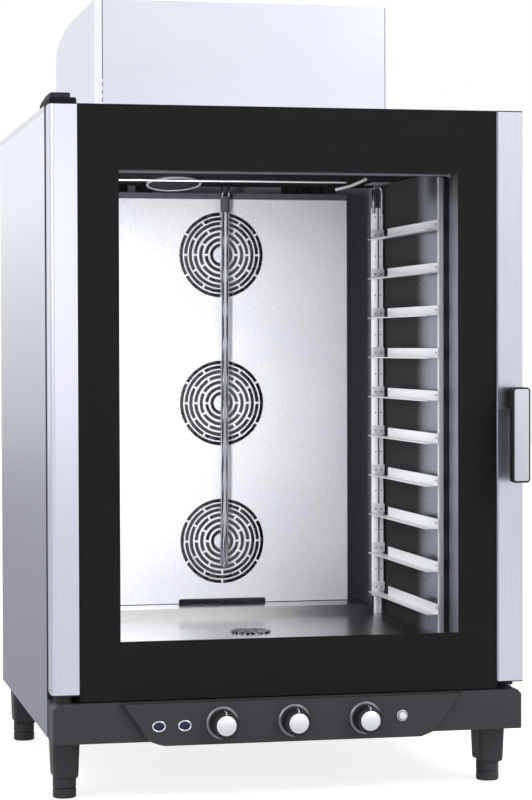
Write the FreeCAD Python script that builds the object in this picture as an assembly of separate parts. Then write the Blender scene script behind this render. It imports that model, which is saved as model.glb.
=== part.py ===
import FreeCAD, Part
import math
import os

V = FreeCAD.Vector

# A ten-tray convection oven with a left-hung glass door. Millimetres, +Z up, front towards -Y.
# A depth is counted back from the door's front face; the origin is under the middle of the oven.

# Overall casing
WIDTH = 860.0
DEPTH = 830.0
CASE_BOTTOM_Z = 114.0
DOOR_GAP = 12.0
FRAME_STEP = 9.0
TOP_SPACE = 95.0
TOP_LIP = 10.0
REAR_COVER_INSET = 18.0
RETURN_WIDTH = 15.0
FLANGE_INSET = 2.0

# Sheet thicknesses and fits
SHEET = 1.2
TRAY_SHEET = 2.0
LINER = 2.0
SEAT_GAP = 0.3
RUN_GAP = 0.05
HOLE_GAP = 0.5

# Bottom tray
TRAY_LIP = 26.0

# Legs and screw feet
LEG_INSET_X = 35.0
LEG_FRONT_GAP = 2.5
LEG_REAR_INSET = 73.0
LEG_WIDTH = 50.0
LEG_LENGTH = 65.0
LEG_TAPER = 3.0
LEG_HEIGHT = 78.0
LEG_EDGE_R = 7.0
FOOT_R = 21.0
FOOT_CHAMFER = 2.0
FOOT_GROOVE = 1.5
STEM_R = 9.0
STEM_LENGTH = 40.0

# Base fascia
FASCIA_INSET = 2.0
FASCIA_DROP = 3.0
FASCIA_HEIGHT = 71.0
FASCIA_WALL = 4.0
FASCIA_CORNER_R = 9.0
FASCIA_CHAMFER = 10.0
FASCIA_WINDOW_REACH = 21.0
FASCIA_WINDOW_GAP = 1.0

# Control panel
PANEL_PROUD = 14.0
PANEL_WALL = 3.0
PANEL_TOP_GAP = 2.0
PANEL_HEIGHT = 75.0
PANEL_CUT = 10.0
PANEL_TOP_HALF = 313.0
PANEL_SIDE_HALF = 268.0
PANEL_BOTTOM_HALF = 241.0
PANEL_BEVEL = 8.0

# Knobs and their rotary units
KNOB_PITCH = 130.0
KNOB_RISE = 31.0
DIAL_R = 29.0
DIAL_T = 2.0
KNOB_R = 25.0
KNOB_DRAFT = 1.5
KNOB_LENGTH = 33.0
KNOB_EDGE_R = 2.5
KNOB_CAP_R = 17.5
KNOB_CAP_T = 2.0
KNOB_RECESS = 1.2
KNOB_SHAFT_R = 3.0
BUSH_R = 5.0
BUSH_LENGTH = 6.0
UNIT_SIZE = 44.0
UNIT_DEPTH = 40.0
UNIT_BORE = 20.0

# Indicator lamps and push button
LAMP_INSET_X = 92.0
LAMP_PITCH = 46.0
LAMP_RISE = 29.0
LAMP_WIDTH = 25.0
LAMP_HEIGHT = 20.0
RING_PROUD = 3.0
RING_WIDTH = 3.0
LENS_LENGTH = 12.0
BUTTON_INSET_X = 116.0
BUTTON_RISE = 33.0
BUTTON_RING_R = 10.5
BUTTON_R = 6.5
BUTTON_PROUD = 6.0
BUTTON_TRAVEL = 3.0
BUTTON_FLANGE_R = 8.5
BUTTON_FLANGE_T = 2.0
BUTTON_EDGE_R = 1.0
SWITCH_SIZE = 22.0
SWITCH_DEPTH = 20.0

# Door
COLUMN_WIDTH = 48.0
COLUMN_DEPTH = 52.0
COLUMN_WALL = 2.0
COLUMN_RISE = 14.0
COLUMN_FRONT_R = 8.0
COLUMN_REAR_R = 6.0
DOOR_TOP_GAP = 1.0
DOOR_BOTTOM_GAP = 2.0
GLASS_SIDE_GAP = 1.0
OUTER_GLASS_INSET = 0.5
OUTER_GLASS_T = 5.0
MASK_GAP = 0.1
MASK_T = 0.5
BORDER_SIDE = 73.0
BORDER_BOTTOM = 104.0
BORDER_TOP = 114.0
WINDOW_REVEAL = 12.0
WING_WALL = 1.5
INNER_GLASS_SET = 8.0
INNER_GLASS_T = 6.0
INNER_GLASS_EDGE = 4.0
CAP_T = 2.0
CAP_PLUG = 20.0
CAP_PLUG_GAP = 0.2

# Hinges
HINGE_DEPTH = 26.0
PIN_R = 5.0
PIN_LENGTH = 18.0
HINGE_PLATE_T = 4.0
HINGE_PLATE_EDGE = 5.0
HINGE_PLATE_END = 10.0
HINGE_DISC_R = 18.0
HINGE_DISC_GAP = 0.5
HINGE_STUD_R = 8.0
LOWER_PLATE_T = 8.0
LOWER_PLATE_REAR = 70.0
HINGE_CAP_LENGTH = 142.0
HINGE_CAP_HEIGHT = 18.0
HINGE_CAP_WALL = 2.5
HINGE_CAP_STEP_X = 11.0
HINGE_CAP_STEP_Z = 8.0
HINGE_CAP_SLOPE = 8.0
HINGE_CAP_CREST = 66.0

# Handle and latch
HANDLE_REACH = 60.0
HANDLE_INSET_X = 23.0
HANDLE_RISE = 514.0
HANDLE_LENGTH = 171.0
GRIP_WIDTH = 34.0
GRIP_T = 24.0
NECK_WIDTH = 38.0
NECK_HEIGHT = 42.0
GRIP_EDGE_R = 5.0
INSERT_EDGE = 3.5
INSERT_T = 1.6
INSERT_RECESS = 1.2
INSERT_CORNER_R = 4.0
SPINDLE_R = 6.0
TONGUE_GAP = 0.5
TONGUE_T = 5.0
TONGUE_LENGTH = 30.0
TONGUE_WIDTH = 14.0
TONGUE_HUB_R = 11.0
KEEPER_WIDTH = 24.0
KEEPER_HEIGHT = 40.0
KEEPER_SLOT = 16.0
KEEPER_LIP = 2.0

# Cavity, seal and insulation
SIDE_SPACE = 95.0
REAR_SPACE = 92.0
FLOOR_RISE = 76.0
STEP_LENGTH = 108.0
STEP_HEIGHT = 18.0
STEP_FALL = 5.5
SEAL_WIDTH = 12.0
SEAL_OFFSET = 2.0
WOOL = 34.0
REAR_WOOL = 23.0

# Fan baffle and its grilles
BAFFLE_SPACE = 70.0
BAFFLE_T = 1.5
BAFFLE_SIDE = 72.0
BAFFLE_LIFT = 1.0
BAFFLE_TOP_GAP = 24.0
BAFFLE_RETURN = 14.0
NOTCH_WIDTH = 180.0
NOTCH_HEIGHT = 9.0
NOTCH_R = 4.0
STANDOFF_R = 5.0
STANDOFF_INSET_X = 23.0
STANDOFF_INSET_Z = 36.0
SLOT_WIDTH = 7.0
SLOT_RADII = (83.0, 73.5, 64.0, 53.5, 42.5, 31.0, 20.0)
SLOT_BRIDGE = 4.0
BRIDGE_ANGLES = (
    (30, 90, 150), (0, 60, 120), (30, 90, 150), (0, 60, 120), (30, 90, 150), (0, 90), (90,),
)

# Fans and motors
FAN_R = 115.0
UPPER_FAN_DROP = 143.5
MIDDLE_FAN_DROP = 10.0
LOWER_FAN_RISE = 150.5
FAN_FRONT_GAP = 10.0
FAN_REAR_GAP = 10.0
FAN_SHEET = 2.0
FAN_EYE_R = 88.0
FAN_BLADES = 20
BLADE_INNER_R = 70.0
FAN_HUB_R = 20.0
FAN_HUB_LENGTH = 30.0
SHAFT_R = 8.0
SHAFT_GRIP = 40.0
SHAFT_END_GAP = 5.0
MOTOR_R = 62.0
MOTOR_REAR_GAP = 7.8
MOTOR_BOSS_R = 30.0

# Heat exchanger, burners, gas train and flue
TUBE_R = 19.0
TUBE_WALL = 1.5
TUBE_XS = (-205.0, -152.0, 152.0, 205.0)
TUBE_SPACE = 34.0
BURNER_MARGIN = 8.0
BURNER_WALL = 2.0
VALVE_X = 120.0
VALVE_WIDTH = 90.0
VALVE_DEPTH = 60.0
VALVE_REAR_GAP = 17.0
VALVE_HEIGHT = 70.0
MANIFOLD_R = 8.0
RISER_R = 11.0
LINK_R = 6.0
MANIFOLD_RISE = 10.0
INLET_R = 13.2
INLET_COLLAR_R = 18.0
COLLAR_T = 3.0
GAS_RISE = 36.0
WATER_INSET_X = 230.0
WATER_RISE = 36.0
WATER_BODY = 40.0
WATER_BODY_DEPTH = 45.0
GLAND_INSET_X = 130.0
GLAND_RISE = 46.0
GLAND_R = 13.0
GLAND_NECK_R = 10.0
GLAND_BORE_R = 7.0
GLAND_LENGTH = 14.0
GLAND_NUT_T = 5.0
COLLECTOR_MARGIN = 10.0
COLLECTOR_WALL = 1.5
DUCT_R = 55.0
DUCT_WALL = 1.5
DUCT_RISE = 130.0

# Cowl on the top cover
COWL_LEFT = -313.0
COWL_RIGHT = 257.0
COWL_DEPTH = 565.0
COWL_HEIGHT = 218.0
COWL_FALL = 230.0
COWL_CROWN_R = 800.0
COWL_CORNER_R = 30.0
COWL_RETURN = 14.0
COWL_SEAM = 1.5
COWL_SLOTS = 7
COWL_SLOT_LENGTH = 380.0
COWL_SLOT_HEIGHT = 6.0
COWL_SLOT_PITCH = 16.0
COWL_SLOT_RISE = 32.0

# Drain, water tube and ceiling lamp
DRAIN_X = -5.0
DRAIN_DEPTH = 345.0
STRAINER_R = 38.5
STRAINER_T = 3.0
STRAINER_HOLE_R = 3.0
STRAINER_RIM = 7.5
STRAINER_RINGS = 3
STRAINER_RING_PITCH = 10.0
STRAINER_HOLE_PITCH = 10.8
DRAIN_R = 20.0
DRAIN_WALL = 2.0
DRAIN_COLLAR_R = 25.0
DRAIN_RISE = 36.0
WATER_TUBE_R = 8.0
WATER_TUBE_GAP = 12.0
WATER_TUBE_RISE = 107.0
FITTING_WIDTH = 24.0
FITTING_LENGTH = 20.0
FITTING_HEIGHT = 42.0
LAMP_RING_X = -122.0
LAMP_RING_DEPTH = 470.0
LAMP_RING_R = 52.0
LAMP_RING_WIDTH = 5.0
LAMP_RING_T = 4.0
LAMP_DOME = 13.0
LAMP_CAN_R = 40.0

# Tray racks
RACK_RAILS = 10
RACK_PITCH = 80.0
RACK_RISE = 45.0
RACK_TOP_SPACE = 112.0
RAIL_INSET = 17.0
RAIL_SHEET = 1.5
RAIL_WEB = 18.0
RAIL_FLANGE = 22.0
RAIL_WEB_STOP = 80.0
POST_FRONT = 165.0
POST_WIDTH = 10.0
POST_DEPTH = 8.0
POST_TOP_GAP = 15.0
REAR_POST_GAP = 4.0
REAR_POST_WIDTH = 24.0
REAR_POST_T = 3.0
REAR_POST_OFFSET = 2.0
REAR_FOOT_WIDTH = 15.0
REAR_FOOT_HEIGHT = 36.0
HOOK_GAP = 4.5
HOOK_R = 3.0
HOOK_HALF = 7.5
HOOK_LEG = 27.0
HOOK_ROOT = 13.5

# Rear cover louvres and screws
LOUVRE_ROWS = 6
LOUVRE_LENGTH = 150.0
LOUVRE_HEIGHT = 5.0
LOUVRE_PITCH = 14.0
LOUVRE_X = 250.0
SCREW_HEAD_R = 4.5
SCREW_HEAD_T = 2.4
SCREW_INSET = 10.0
SCREW_ROWS = 5

# Places across the oven, worked out from the driving sizes
HALF = WIDTH / 2
INSIDE = HALF - SHEET
COLUMN_INNER = HALF - COLUMN_WIDTH
GLASS_HALF = COLUMN_INNER - GLASS_SIDE_GAP
WINDOW_HALF = GLASS_HALF - BORDER_SIDE
WING_INNER = WINDOW_HALF + WINDOW_REVEAL
HINGE_X = COLUMN_WIDTH / 2 - HALF
HANDLE_X = HALF - HANDLE_INSET_X
CAVITY_HALF = HALF - SIDE_SPACE
LINER_HALF = CAVITY_HALF + LINER
BAFFLE_HALF = CAVITY_HALF - BAFFLE_SIDE
RAIL_WEB_X = CAVITY_HALF - RAIL_INSET
GAS_X = VALVE_X + VALVE_WIDTH / 2
WATER_X = WATER_INSET_X - HALF
GLAND_X = GLAND_INSET_X - HALF
COWL_MID = (COWL_LEFT + COWL_RIGHT) / 2
LAMP_X = LAMP_INSET_X - PANEL_TOP_HALF
LAMP_XS = (LAMP_X - LAMP_PITCH / 2, LAMP_X + LAMP_PITCH / 2)
BUTTON_X = PANEL_TOP_HALF - BUTTON_INSET_X
KNOB_XS = {"timer": -KNOB_PITCH, "thermostat": 0.0, "steam": KNOB_PITCH}

# Depths, from the door's front face to the rear
FRONT_Y = (HANDLE_REACH - DEPTH) / 2
PANEL_FACE = -PANEL_PROUD
PANEL_BACK = PANEL_FACE + PANEL_WALL
KNOB_BACK = PANEL_FACE - DIAL_T - SEAT_GAP
KNOB_FRONT = KNOB_BACK - KNOB_LENGTH
MASK_FRONT = OUTER_GLASS_INSET + OUTER_GLASS_T + MASK_GAP
WING_FRONT = MASK_FRONT + MASK_T
INNER_GLASS_FRONT = COLUMN_DEPTH - INNER_GLASS_SET
INNER_GLASS_REAR = INNER_GLASS_FRONT + INNER_GLASS_T
FRAME_FRONT = COLUMN_DEPTH + DOOR_GAP
LINER_FRONT = FRAME_FRONT + LINER
SIDE_FRONT = LINER_FRONT + FRAME_STEP
LEG_FRONT = SIDE_FRONT + LEG_FRONT_GAP + LEG_LENGTH / 2
LEG_REAR = DEPTH - LEG_REAR_INSET
REAR_COVER = DEPTH - REAR_COVER_INSET
CAVITY_BACK = REAR_COVER - REAR_SPACE
LINER_REAR = CAVITY_BACK + LINER
WOOL_REAR = LINER_REAR + REAR_WOOL
STEP_FRONT = CAVITY_BACK - STEP_LENGTH
REAR_POST = STEP_FRONT - REAR_POST_GAP - REAR_POST_T
BAFFLE_FRONT = CAVITY_BACK - BAFFLE_SPACE
WATER_TUBE_DEPTH = BAFFLE_FRONT - WATER_TUBE_GAP - WATER_TUBE_R
FAN_FRONT = BAFFLE_FRONT + FAN_FRONT_GAP
FAN_REAR = CAVITY_BACK - FAN_REAR_GAP
TUBE_DEPTH = CAVITY_BACK - TUBE_SPACE
SHAFT_END = WOOL_REAR + SHAFT_GRIP
MOTOR_REAR = REAR_COVER - SHEET - MOTOR_REAR_GAP
VALVE_REAR = REAR_COVER - VALVE_REAR_GAP
VALVE_FRONT = VALVE_REAR - VALVE_DEPTH
COWL_FRONT = DEPTH - COWL_DEPTH
COWL_CROWN = DEPTH - COWL_FALL

# Heights, from the floor up
LEG_BOTTOM_Z = CASE_BOTTOM_Z - LEG_HEIGHT
TRAY_TOP_Z = CASE_BOTTOM_Z + TRAY_SHEET
VALVE_TOP_Z = TRAY_TOP_Z + VALVE_HEIGHT
MANIFOLD_Z = VALVE_TOP_Z + MANIFOLD_RISE
GAS_Z = CASE_BOTTOM_Z + GAS_RISE
WATER_Z = CASE_BOTTOM_Z + WATER_RISE
GLAND_Z = CASE_BOTTOM_Z + GLAND_RISE
DRAIN_Z = CASE_BOTTOM_Z + DRAIN_RISE
FASCIA_BOTTOM_Z = CASE_BOTTOM_Z - FASCIA_DROP
FASCIA_TOP_Z = FASCIA_BOTTOM_Z + FASCIA_HEIGHT
PANEL_TOP_Z = FASCIA_TOP_Z - PANEL_TOP_GAP
PANEL_BOTTOM_Z = PANEL_TOP_Z - PANEL_HEIGHT
PANEL_SIDE_Z = PANEL_BOTTOM_Z + PANEL_CUT
KNOB_Z = FASCIA_BOTTOM_Z + KNOB_RISE
LAMP_Z = FASCIA_BOTTOM_Z + LAMP_RISE
BUTTON_Z = FASCIA_BOTTOM_Z + BUTTON_RISE
GLASS_BOTTOM_Z = FASCIA_TOP_Z + DOOR_BOTTOM_GAP
COLUMN_BOTTOM_Z = FASCIA_TOP_Z + COLUMN_RISE
HANDLE_PIVOT_Z = COLUMN_BOTTOM_Z + HANDLE_RISE
HANDLE_TOP_Z = HANDLE_PIVOT_Z + NECK_HEIGHT / 2
HANDLE_BOTTOM_Z = HANDLE_TOP_Z - HANDLE_LENGTH
CAVITY_FLOOR_Z = FASCIA_TOP_Z + FLOOR_RISE
FLOOR_UNDER_Z = CAVITY_FLOOR_Z - LINER
WOOL_UNDER_Z = FLOOR_UNDER_Z - WOOL
STEP_Z = CAVITY_FLOOR_Z + STEP_HEIGHT
STEP_BACK_Z = STEP_Z + STEP_FALL
REAR_FOOT_TOP_Z = CAVITY_FLOOR_Z + REAR_FOOT_HEIGHT
WATER_TUBE_BOTTOM_Z = CAVITY_FLOOR_Z + WATER_TUBE_RISE
RACK_FIRST_Z = CAVITY_FLOOR_Z + RACK_RISE
CAVITY_CEILING_Z = RACK_FIRST_Z + (RACK_RAILS - 1) * RACK_PITCH + RACK_TOP_SPACE
CEILING_OVER_Z = CAVITY_CEILING_Z + LINER
WOOL_OVER_Z = CEILING_OVER_Z + WOOL
REAR_POST_TOP_Z = CAVITY_CEILING_Z - HOOK_GAP - HOOK_R - HOOK_HALF - HOOK_LEG
BAFFLE_BOTTOM_Z = STEP_BACK_Z + BAFFLE_LIFT
BAFFLE_TOP_Z = CAVITY_CEILING_Z - BAFFLE_TOP_GAP
UPPER_FAN_Z = CAVITY_CEILING_Z - UPPER_FAN_DROP
LOWER_FAN_Z = CAVITY_FLOOR_Z + LOWER_FAN_RISE
MIDDLE_FAN_Z = (UPPER_FAN_Z + LOWER_FAN_Z) / 2 - MIDDLE_FAN_DROP
FAN_ZS = {"upper": UPPER_FAN_Z, "middle": MIDDLE_FAN_Z, "lower": LOWER_FAN_Z}
TOP_Z = CAVITY_CEILING_Z + TOP_SPACE
DOOR_TOP_Z = TOP_Z - DOOR_TOP_GAP
UPPER_PIN_BOTTOM_Z = DOOR_TOP_Z - PIN_LENGTH
WINDOW_BOTTOM_Z = GLASS_BOTTOM_Z + BORDER_BOTTOM
WINDOW_TOP_Z = DOOR_TOP_Z - BORDER_TOP
DUCT_TOP_Z = TOP_Z + DUCT_RISE
COWL_TOP_Z = TOP_Z + COWL_HEIGHT
COWL_SLOT_Z = TOP_Z + COWL_SLOT_RISE


# Basic shapes


def at(depth):
    """Y of a depth behind the door's front face."""
    return FRONT_Y + depth


def block(x0, x1, d0, d1, z0, z1):
    """Box between two X, two depths and two Z."""
    return Part.makeBox(x1 - x0, d1 - d0, z1 - z0, V(x0, at(d0), z0))


def rod_x(depth, z, radius, x0, x1):
    return Part.makeCylinder(radius, x1 - x0, V(x0, at(depth), z), V(1, 0, 0))


def rod_y(x, z, radius, d0, d1):
    return Part.makeCylinder(radius, d1 - d0, V(x, at(d0), z), V(0, 1, 0))


def rod_z(x, depth, radius, z0, z1):
    return Part.makeCylinder(radius, z1 - z0, V(x, at(depth), z0))


def front_plate(points, d0, d1):
    """Outline in X and Z carried from one depth to another."""
    corners = [V(x, at(d0), z) for x, z in points]
    face = Part.Face(Part.makePolygon(corners + corners[:1]))
    return face.extrude(V(0, d1 - d0, 0))


def side_plate(points, x0, x1):
    """Outline in depth and Z carried from one X to another."""
    corners = [V(x0, at(d), z) for d, z in points]
    face = Part.Face(Part.makePolygon(corners + corners[:1]))
    return face.extrude(V(x1 - x0, 0, 0))


def oval(x, z, width, height, d0, d1):
    """Oval bar along the depth."""
    ellipse = Part.Ellipse(V(0, 0, 0), width / 2, height / 2).toShape()
    ellipse.rotate(V(0, 0, 0), V(1, 0, 0), 90)
    ellipse.translate(V(x, at(d0), z))
    return Part.Face(Part.Wire(ellipse)).extrude(V(0, d1 - d0, 0))


def round_edges(shape, radius, wanted):
    """Round the straight edges whose two ends satisfy wanted(start, end)."""
    edges = []
    for edge in shape.Edges:
        ends = [vertex.Point for vertex in edge.Vertexes]
        if len(ends) == 2 and wanted(ends[0], ends[1]):
            edges.append(edge)
    return shape.makeFillet(radius, edges)


def rim_edges(shape, y):
    """Edges that lie wholly in the plane at one Y."""
    return [edge for edge in shape.Edges if near(edge.BoundBox.YMin, y) and near(edge.BoundBox.YMax, y)]


def near(a, b):
    return abs(a - b) < RUN_GAP


def fuse_all(shapes):
    return shapes[0].multiFuse(shapes[1:]).removeSplitter()


def mirrored(shape):
    """The same piece on the other side of the middle plane."""
    return shape.mirror(V(0, 0, 0), V(1, 0, 0))


# Casing


def bottom_tray():
    tray_front = SIDE_FRONT + SHEET
    rear = REAR_COVER - SHEET
    outer = block(-INSIDE, INSIDE, tray_front, rear, CASE_BOTTOM_Z, CASE_BOTTOM_Z + TRAY_LIP)
    inner = block(
        TRAY_SHEET - INSIDE, INSIDE - TRAY_SHEET, tray_front + TRAY_SHEET, rear - TRAY_SHEET,
        TRAY_TOP_Z, TOP_Z,
    )
    return outer.cut([inner] + rear_fitting_holes())


def side_skin(z0, z1):
    """Left outer sheet between two heights, with an inward return along its front edge."""
    sheet = block(-HALF, -INSIDE, SIDE_FRONT, DEPTH, z0, z1)
    lip = block(-INSIDE, RETURN_WIDTH - HALF, SIDE_FRONT, SIDE_FRONT + SHEET, z0, z1)
    return fuse_all([sheet, lip])


def side_panel():
    return side_skin(CASE_BOTTOM_Z, TOP_Z - TOP_LIP - SEAT_GAP)


def top_cover():
    """Top sheet folded down over both side panels, its nose reaching the face frame."""
    sheet = block(-HALF, HALF, SIDE_FRONT, DEPTH, TOP_Z - SHEET, TOP_Z)
    lip = side_skin(TOP_Z - TOP_LIP, TOP_Z - SHEET)
    nose = HALF - FLANGE_INSET - LINER
    front = block(-nose, nose, LINER_FRONT, SIDE_FRONT, TOP_Z - SHEET, TOP_Z)
    duct_hole = rod_z(COWL_MID, TUBE_DEPTH, DUCT_R + HOLE_GAP, WOOL_OVER_Z, COWL_TOP_Z)
    return fuse_all([sheet, lip, mirrored(lip), front]).cut(duct_hole)


def rear_fitting_holes():
    """Clearance for the gas, water, cable and drain fittings in the rear sheets."""
    start = WOOL_REAR
    return [
        rod_y(GAS_X, GAS_Z, INLET_R + HOLE_GAP, start, DEPTH),
        rod_y(WATER_X, WATER_Z, INLET_R + HOLE_GAP, start, DEPTH),
        rod_y(GLAND_X, GLAND_Z, GLAND_NECK_R + RUN_GAP, start, DEPTH),
        rod_y(DRAIN_X, DRAIN_Z, DRAIN_R + HOLE_GAP, start, DEPTH),
    ]


def rear_collar(x, z, radius):
    """Collar of a pipe fitting, seated on the outside of the rear cover."""
    return rod_y(x, z, radius, REAR_COVER, REAR_COVER + COLLAR_T)


def rear_cover():
    front = REAR_COVER - SHEET
    sheet = block(-INSIDE, INSIDE, front, REAR_COVER, CASE_BOTTOM_Z, TOP_Z - SHEET)
    slots = []
    for fan_z in FAN_ZS.values():
        for row in range(LOUVRE_ROWS):
            z = fan_z + (row - (LOUVRE_ROWS - 1) / 2) * LOUVRE_PITCH
            for x in (-LOUVRE_X, LOUVRE_X):
                slots.append(block(
                    x - LOUVRE_LENGTH / 2, x + LOUVRE_LENGTH / 2, front, REAR_COVER,
                    z - LOUVRE_HEIGHT / 2, z + LOUVRE_HEIGHT / 2,
                ))
    return sheet.cut(slots + rear_fitting_holes())


def cover_screws():
    """Pan heads down both edges of the rear cover."""
    heads = []
    first = CASE_BOTTOM_Z + TRAY_LIP
    span = TOP_Z - SHEET - first - RETURN_WIDTH
    for row in range(SCREW_ROWS):
        z = first + span * row / (SCREW_ROWS - 1)
        for x in (SCREW_INSET - INSIDE, INSIDE - SCREW_INSET):
            heads.append(rod_y(x, z, SCREW_HEAD_R, REAR_COVER, REAR_COVER + SCREW_HEAD_T))
    return heads


def front_frame():
    """Face frame round the cavity mouth, with side flanges back to the side panels."""
    rear = LINER_FRONT
    face = block(-INSIDE, INSIDE, FRAME_FRONT, rear, FASCIA_TOP_Z, TOP_Z)
    mouth = block(-CAVITY_HALF, CAVITY_HALF, FRAME_FRONT, rear, CAVITY_FLOOR_Z, CAVITY_CEILING_Z)
    x0 = FLANGE_INSET - HALF
    flange = block(x0, x0 + LINER, rear, SIDE_FRONT, FASCIA_TOP_Z, TOP_Z)
    return fuse_all([face.cut(mouth), flange, mirrored(flange)])


def leg_blocks():
    blocks = []
    for x in (LEG_INSET_X - HALF, HALF - LEG_INSET_X):
        for depth in (LEG_FRONT, LEG_REAR):
            blocks.append(leg_block(x, depth))
    return blocks


def leg_block(x, depth):
    """Square tapered leg with rounded lower edges and a socket for the foot's stem."""
    rings = []
    for z, shrink in ((CASE_BOTTOM_Z, 0.0), (LEG_BOTTOM_Z, LEG_TAPER)):
        half_x = LEG_WIDTH / 2 - shrink
        half_y = LEG_LENGTH / 2 - shrink
        y = at(depth)
        corners = [
            V(x - half_x, y - half_y, z), V(x + half_x, y - half_y, z),
            V(x + half_x, y + half_y, z), V(x - half_x, y + half_y, z),
        ]
        rings.append(Part.makePolygon(corners + corners[:1]))
    leg = Part.makeLoft(rings, True, True)
    leg = round_edges(leg, LEG_EDGE_R, lambda a, b: min(a.z, b.z) < CASE_BOTTOM_Z - RUN_GAP)
    socket = rod_z(x, depth, STEM_R + RUN_GAP, LEG_BOTTOM_Z, LEG_BOTTOM_Z + STEM_LENGTH + SEAT_GAP)
    return leg.cut(socket)


def foot(x, depth):
    """Round screw foot with a grip groove, its stem inside the leg."""
    top = LEG_BOTTOM_Z - SEAT_GAP
    mid = top / 2
    profile = [
        V(0, 0, 0), V(FOOT_R - FOOT_CHAMFER, 0, 0), V(FOOT_R, 0, FOOT_CHAMFER),
        V(FOOT_R, 0, mid - FOOT_GROOVE), V(FOOT_R - FOOT_GROOVE, 0, mid), V(FOOT_R, 0, mid + FOOT_GROOVE),
        V(FOOT_R, 0, top), V(STEM_R, 0, top), V(STEM_R, 0, top + STEM_LENGTH), V(0, 0, top + STEM_LENGTH),
    ]
    turned = Part.Face(Part.makePolygon(profile + profile[:1])).revolve(V(0, 0, 0), V(0, 0, 1), 360)
    turned.translate(V(x, at(depth), 0))
    return turned


# Base fascia and controls


def base_fascia():
    half = HALF - FASCIA_INSET
    outline = [
        (-half, FASCIA_BOTTOM_Z), (half, FASCIA_BOTTOM_Z), (half, FASCIA_TOP_Z - FASCIA_CHAMFER),
        (half - FASCIA_CHAMFER, FASCIA_TOP_Z), (FASCIA_CHAMFER - half, FASCIA_TOP_Z),
        (-half, FASCIA_TOP_Z - FASCIA_CHAMFER),
    ]
    shell = front_plate(outline, 0, SIDE_FRONT)
    front_y = at(0)
    shell = round_edges(
        shell, FASCIA_CORNER_R,
        lambda a, b: near(a.y, front_y) and near(b.y, front_y) and near(a.x, b.x),
    )
    inner_half = half - FASCIA_WALL
    inner_top = FASCIA_TOP_Z - FASCIA_WALL
    hollow_outline = [
        (-inner_half, FASCIA_BOTTOM_Z + FASCIA_WALL), (inner_half, FASCIA_BOTTOM_Z + FASCIA_WALL),
        (inner_half, inner_top - FASCIA_CHAMFER), (inner_half - FASCIA_CHAMFER, inner_top),
        (FASCIA_CHAMFER - inner_half, inner_top), (-inner_half, inner_top - FASCIA_CHAMFER),
    ]
    hollow = front_plate(hollow_outline, FASCIA_CORNER_R, SIDE_FRONT)
    window_half = PANEL_BOTTOM_HALF + FASCIA_WINDOW_REACH
    unit_half = UNIT_SIZE / 2 + FASCIA_WINDOW_GAP
    window = block(-window_half, window_half, 0, FASCIA_CORNER_R, KNOB_Z - unit_half, KNOB_Z + unit_half)
    stud_hole = rod_z(HINGE_X, HINGE_DEPTH, HINGE_STUD_R + HOLE_GAP, inner_top, FASCIA_TOP_Z)
    return shell.cut([hollow, window, stud_hole])


def panel_outline(inset, drop):
    """Upside-down trapezoid with cut lower corners, drawn in by inset and from top and bottom by drop."""
    return [
        (-PANEL_TOP_HALF + inset, PANEL_TOP_Z - drop), (-PANEL_SIDE_HALF + inset, PANEL_SIDE_Z),
        (-PANEL_BOTTOM_HALF + inset, PANEL_BOTTOM_Z + drop),
        (PANEL_BOTTOM_HALF - inset, PANEL_BOTTOM_Z + drop),
        (PANEL_SIDE_HALF - inset, PANEL_SIDE_Z), (PANEL_TOP_HALF - inset, PANEL_TOP_Z - drop),
    ]


def control_panel():
    rings = []
    for inset, depth in ((0.0, 0.0), (PANEL_BEVEL, PANEL_FACE)):
        corners = [V(x, at(depth), z) for x, z in panel_outline(inset, 0.0)]
        rings.append(Part.makePolygon(corners + corners[:1]))
    shell = Part.makeLoft(rings, True, True)
    hollow = front_plate(panel_outline(PANEL_BEVEL + PANEL_WALL, PANEL_WALL), PANEL_BACK, 0)
    holes = []
    for x in KNOB_XS.values():
        holes.append(rod_y(x, KNOB_Z, KNOB_SHAFT_R + HOLE_GAP, PANEL_FACE, PANEL_BACK))
    for x in LAMP_XS:
        holes.append(oval(
            x, LAMP_Z, LAMP_WIDTH - 2 * RING_WIDTH + 2 * SEAT_GAP,
            LAMP_HEIGHT - 2 * RING_WIDTH + 2 * SEAT_GAP, PANEL_FACE, PANEL_BACK,
        ))
    holes.append(rod_y(BUTTON_X, BUTTON_Z, BUTTON_R + RUN_GAP, PANEL_FACE, PANEL_BACK))
    return shell.cut([hollow] + holes)


def bezels():
    """Dial rings behind the knobs, oval lamp rings and the button's ring, seated on the panel."""
    front = PANEL_FACE - RING_PROUD
    rings = []
    for x in KNOB_XS.values():
        disc = rod_y(x, KNOB_Z, DIAL_R, PANEL_FACE - DIAL_T, PANEL_FACE)
        rings.append(disc.cut(rod_y(x, KNOB_Z, KNOB_SHAFT_R + HOLE_GAP, PANEL_FACE - DIAL_T, PANEL_FACE)))
    for x in LAMP_XS:
        outer = oval(x, LAMP_Z, LAMP_WIDTH, LAMP_HEIGHT, front, PANEL_FACE)
        inner = oval(
            x, LAMP_Z, LAMP_WIDTH - 2 * RING_WIDTH + SEAT_GAP, LAMP_HEIGHT - 2 * RING_WIDTH + SEAT_GAP,
            front, PANEL_FACE,
        )
        rings.append(outer.cut(inner))
    outer = rod_y(BUTTON_X, BUTTON_Z, BUTTON_RING_R, front, PANEL_FACE)
    rings.append(outer.cut(rod_y(BUTTON_X, BUTTON_Z, BUTTON_R + SEAT_GAP, front, PANEL_FACE)))
    return rings


def lamp_lenses():
    start = PANEL_FACE - RING_PROUD / 2
    width = LAMP_WIDTH - 2 * RING_WIDTH
    height = LAMP_HEIGHT - 2 * RING_WIDTH
    return [oval(x, LAMP_Z, width, height, start, start + LENS_LENGTH) for x in LAMP_XS]


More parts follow.
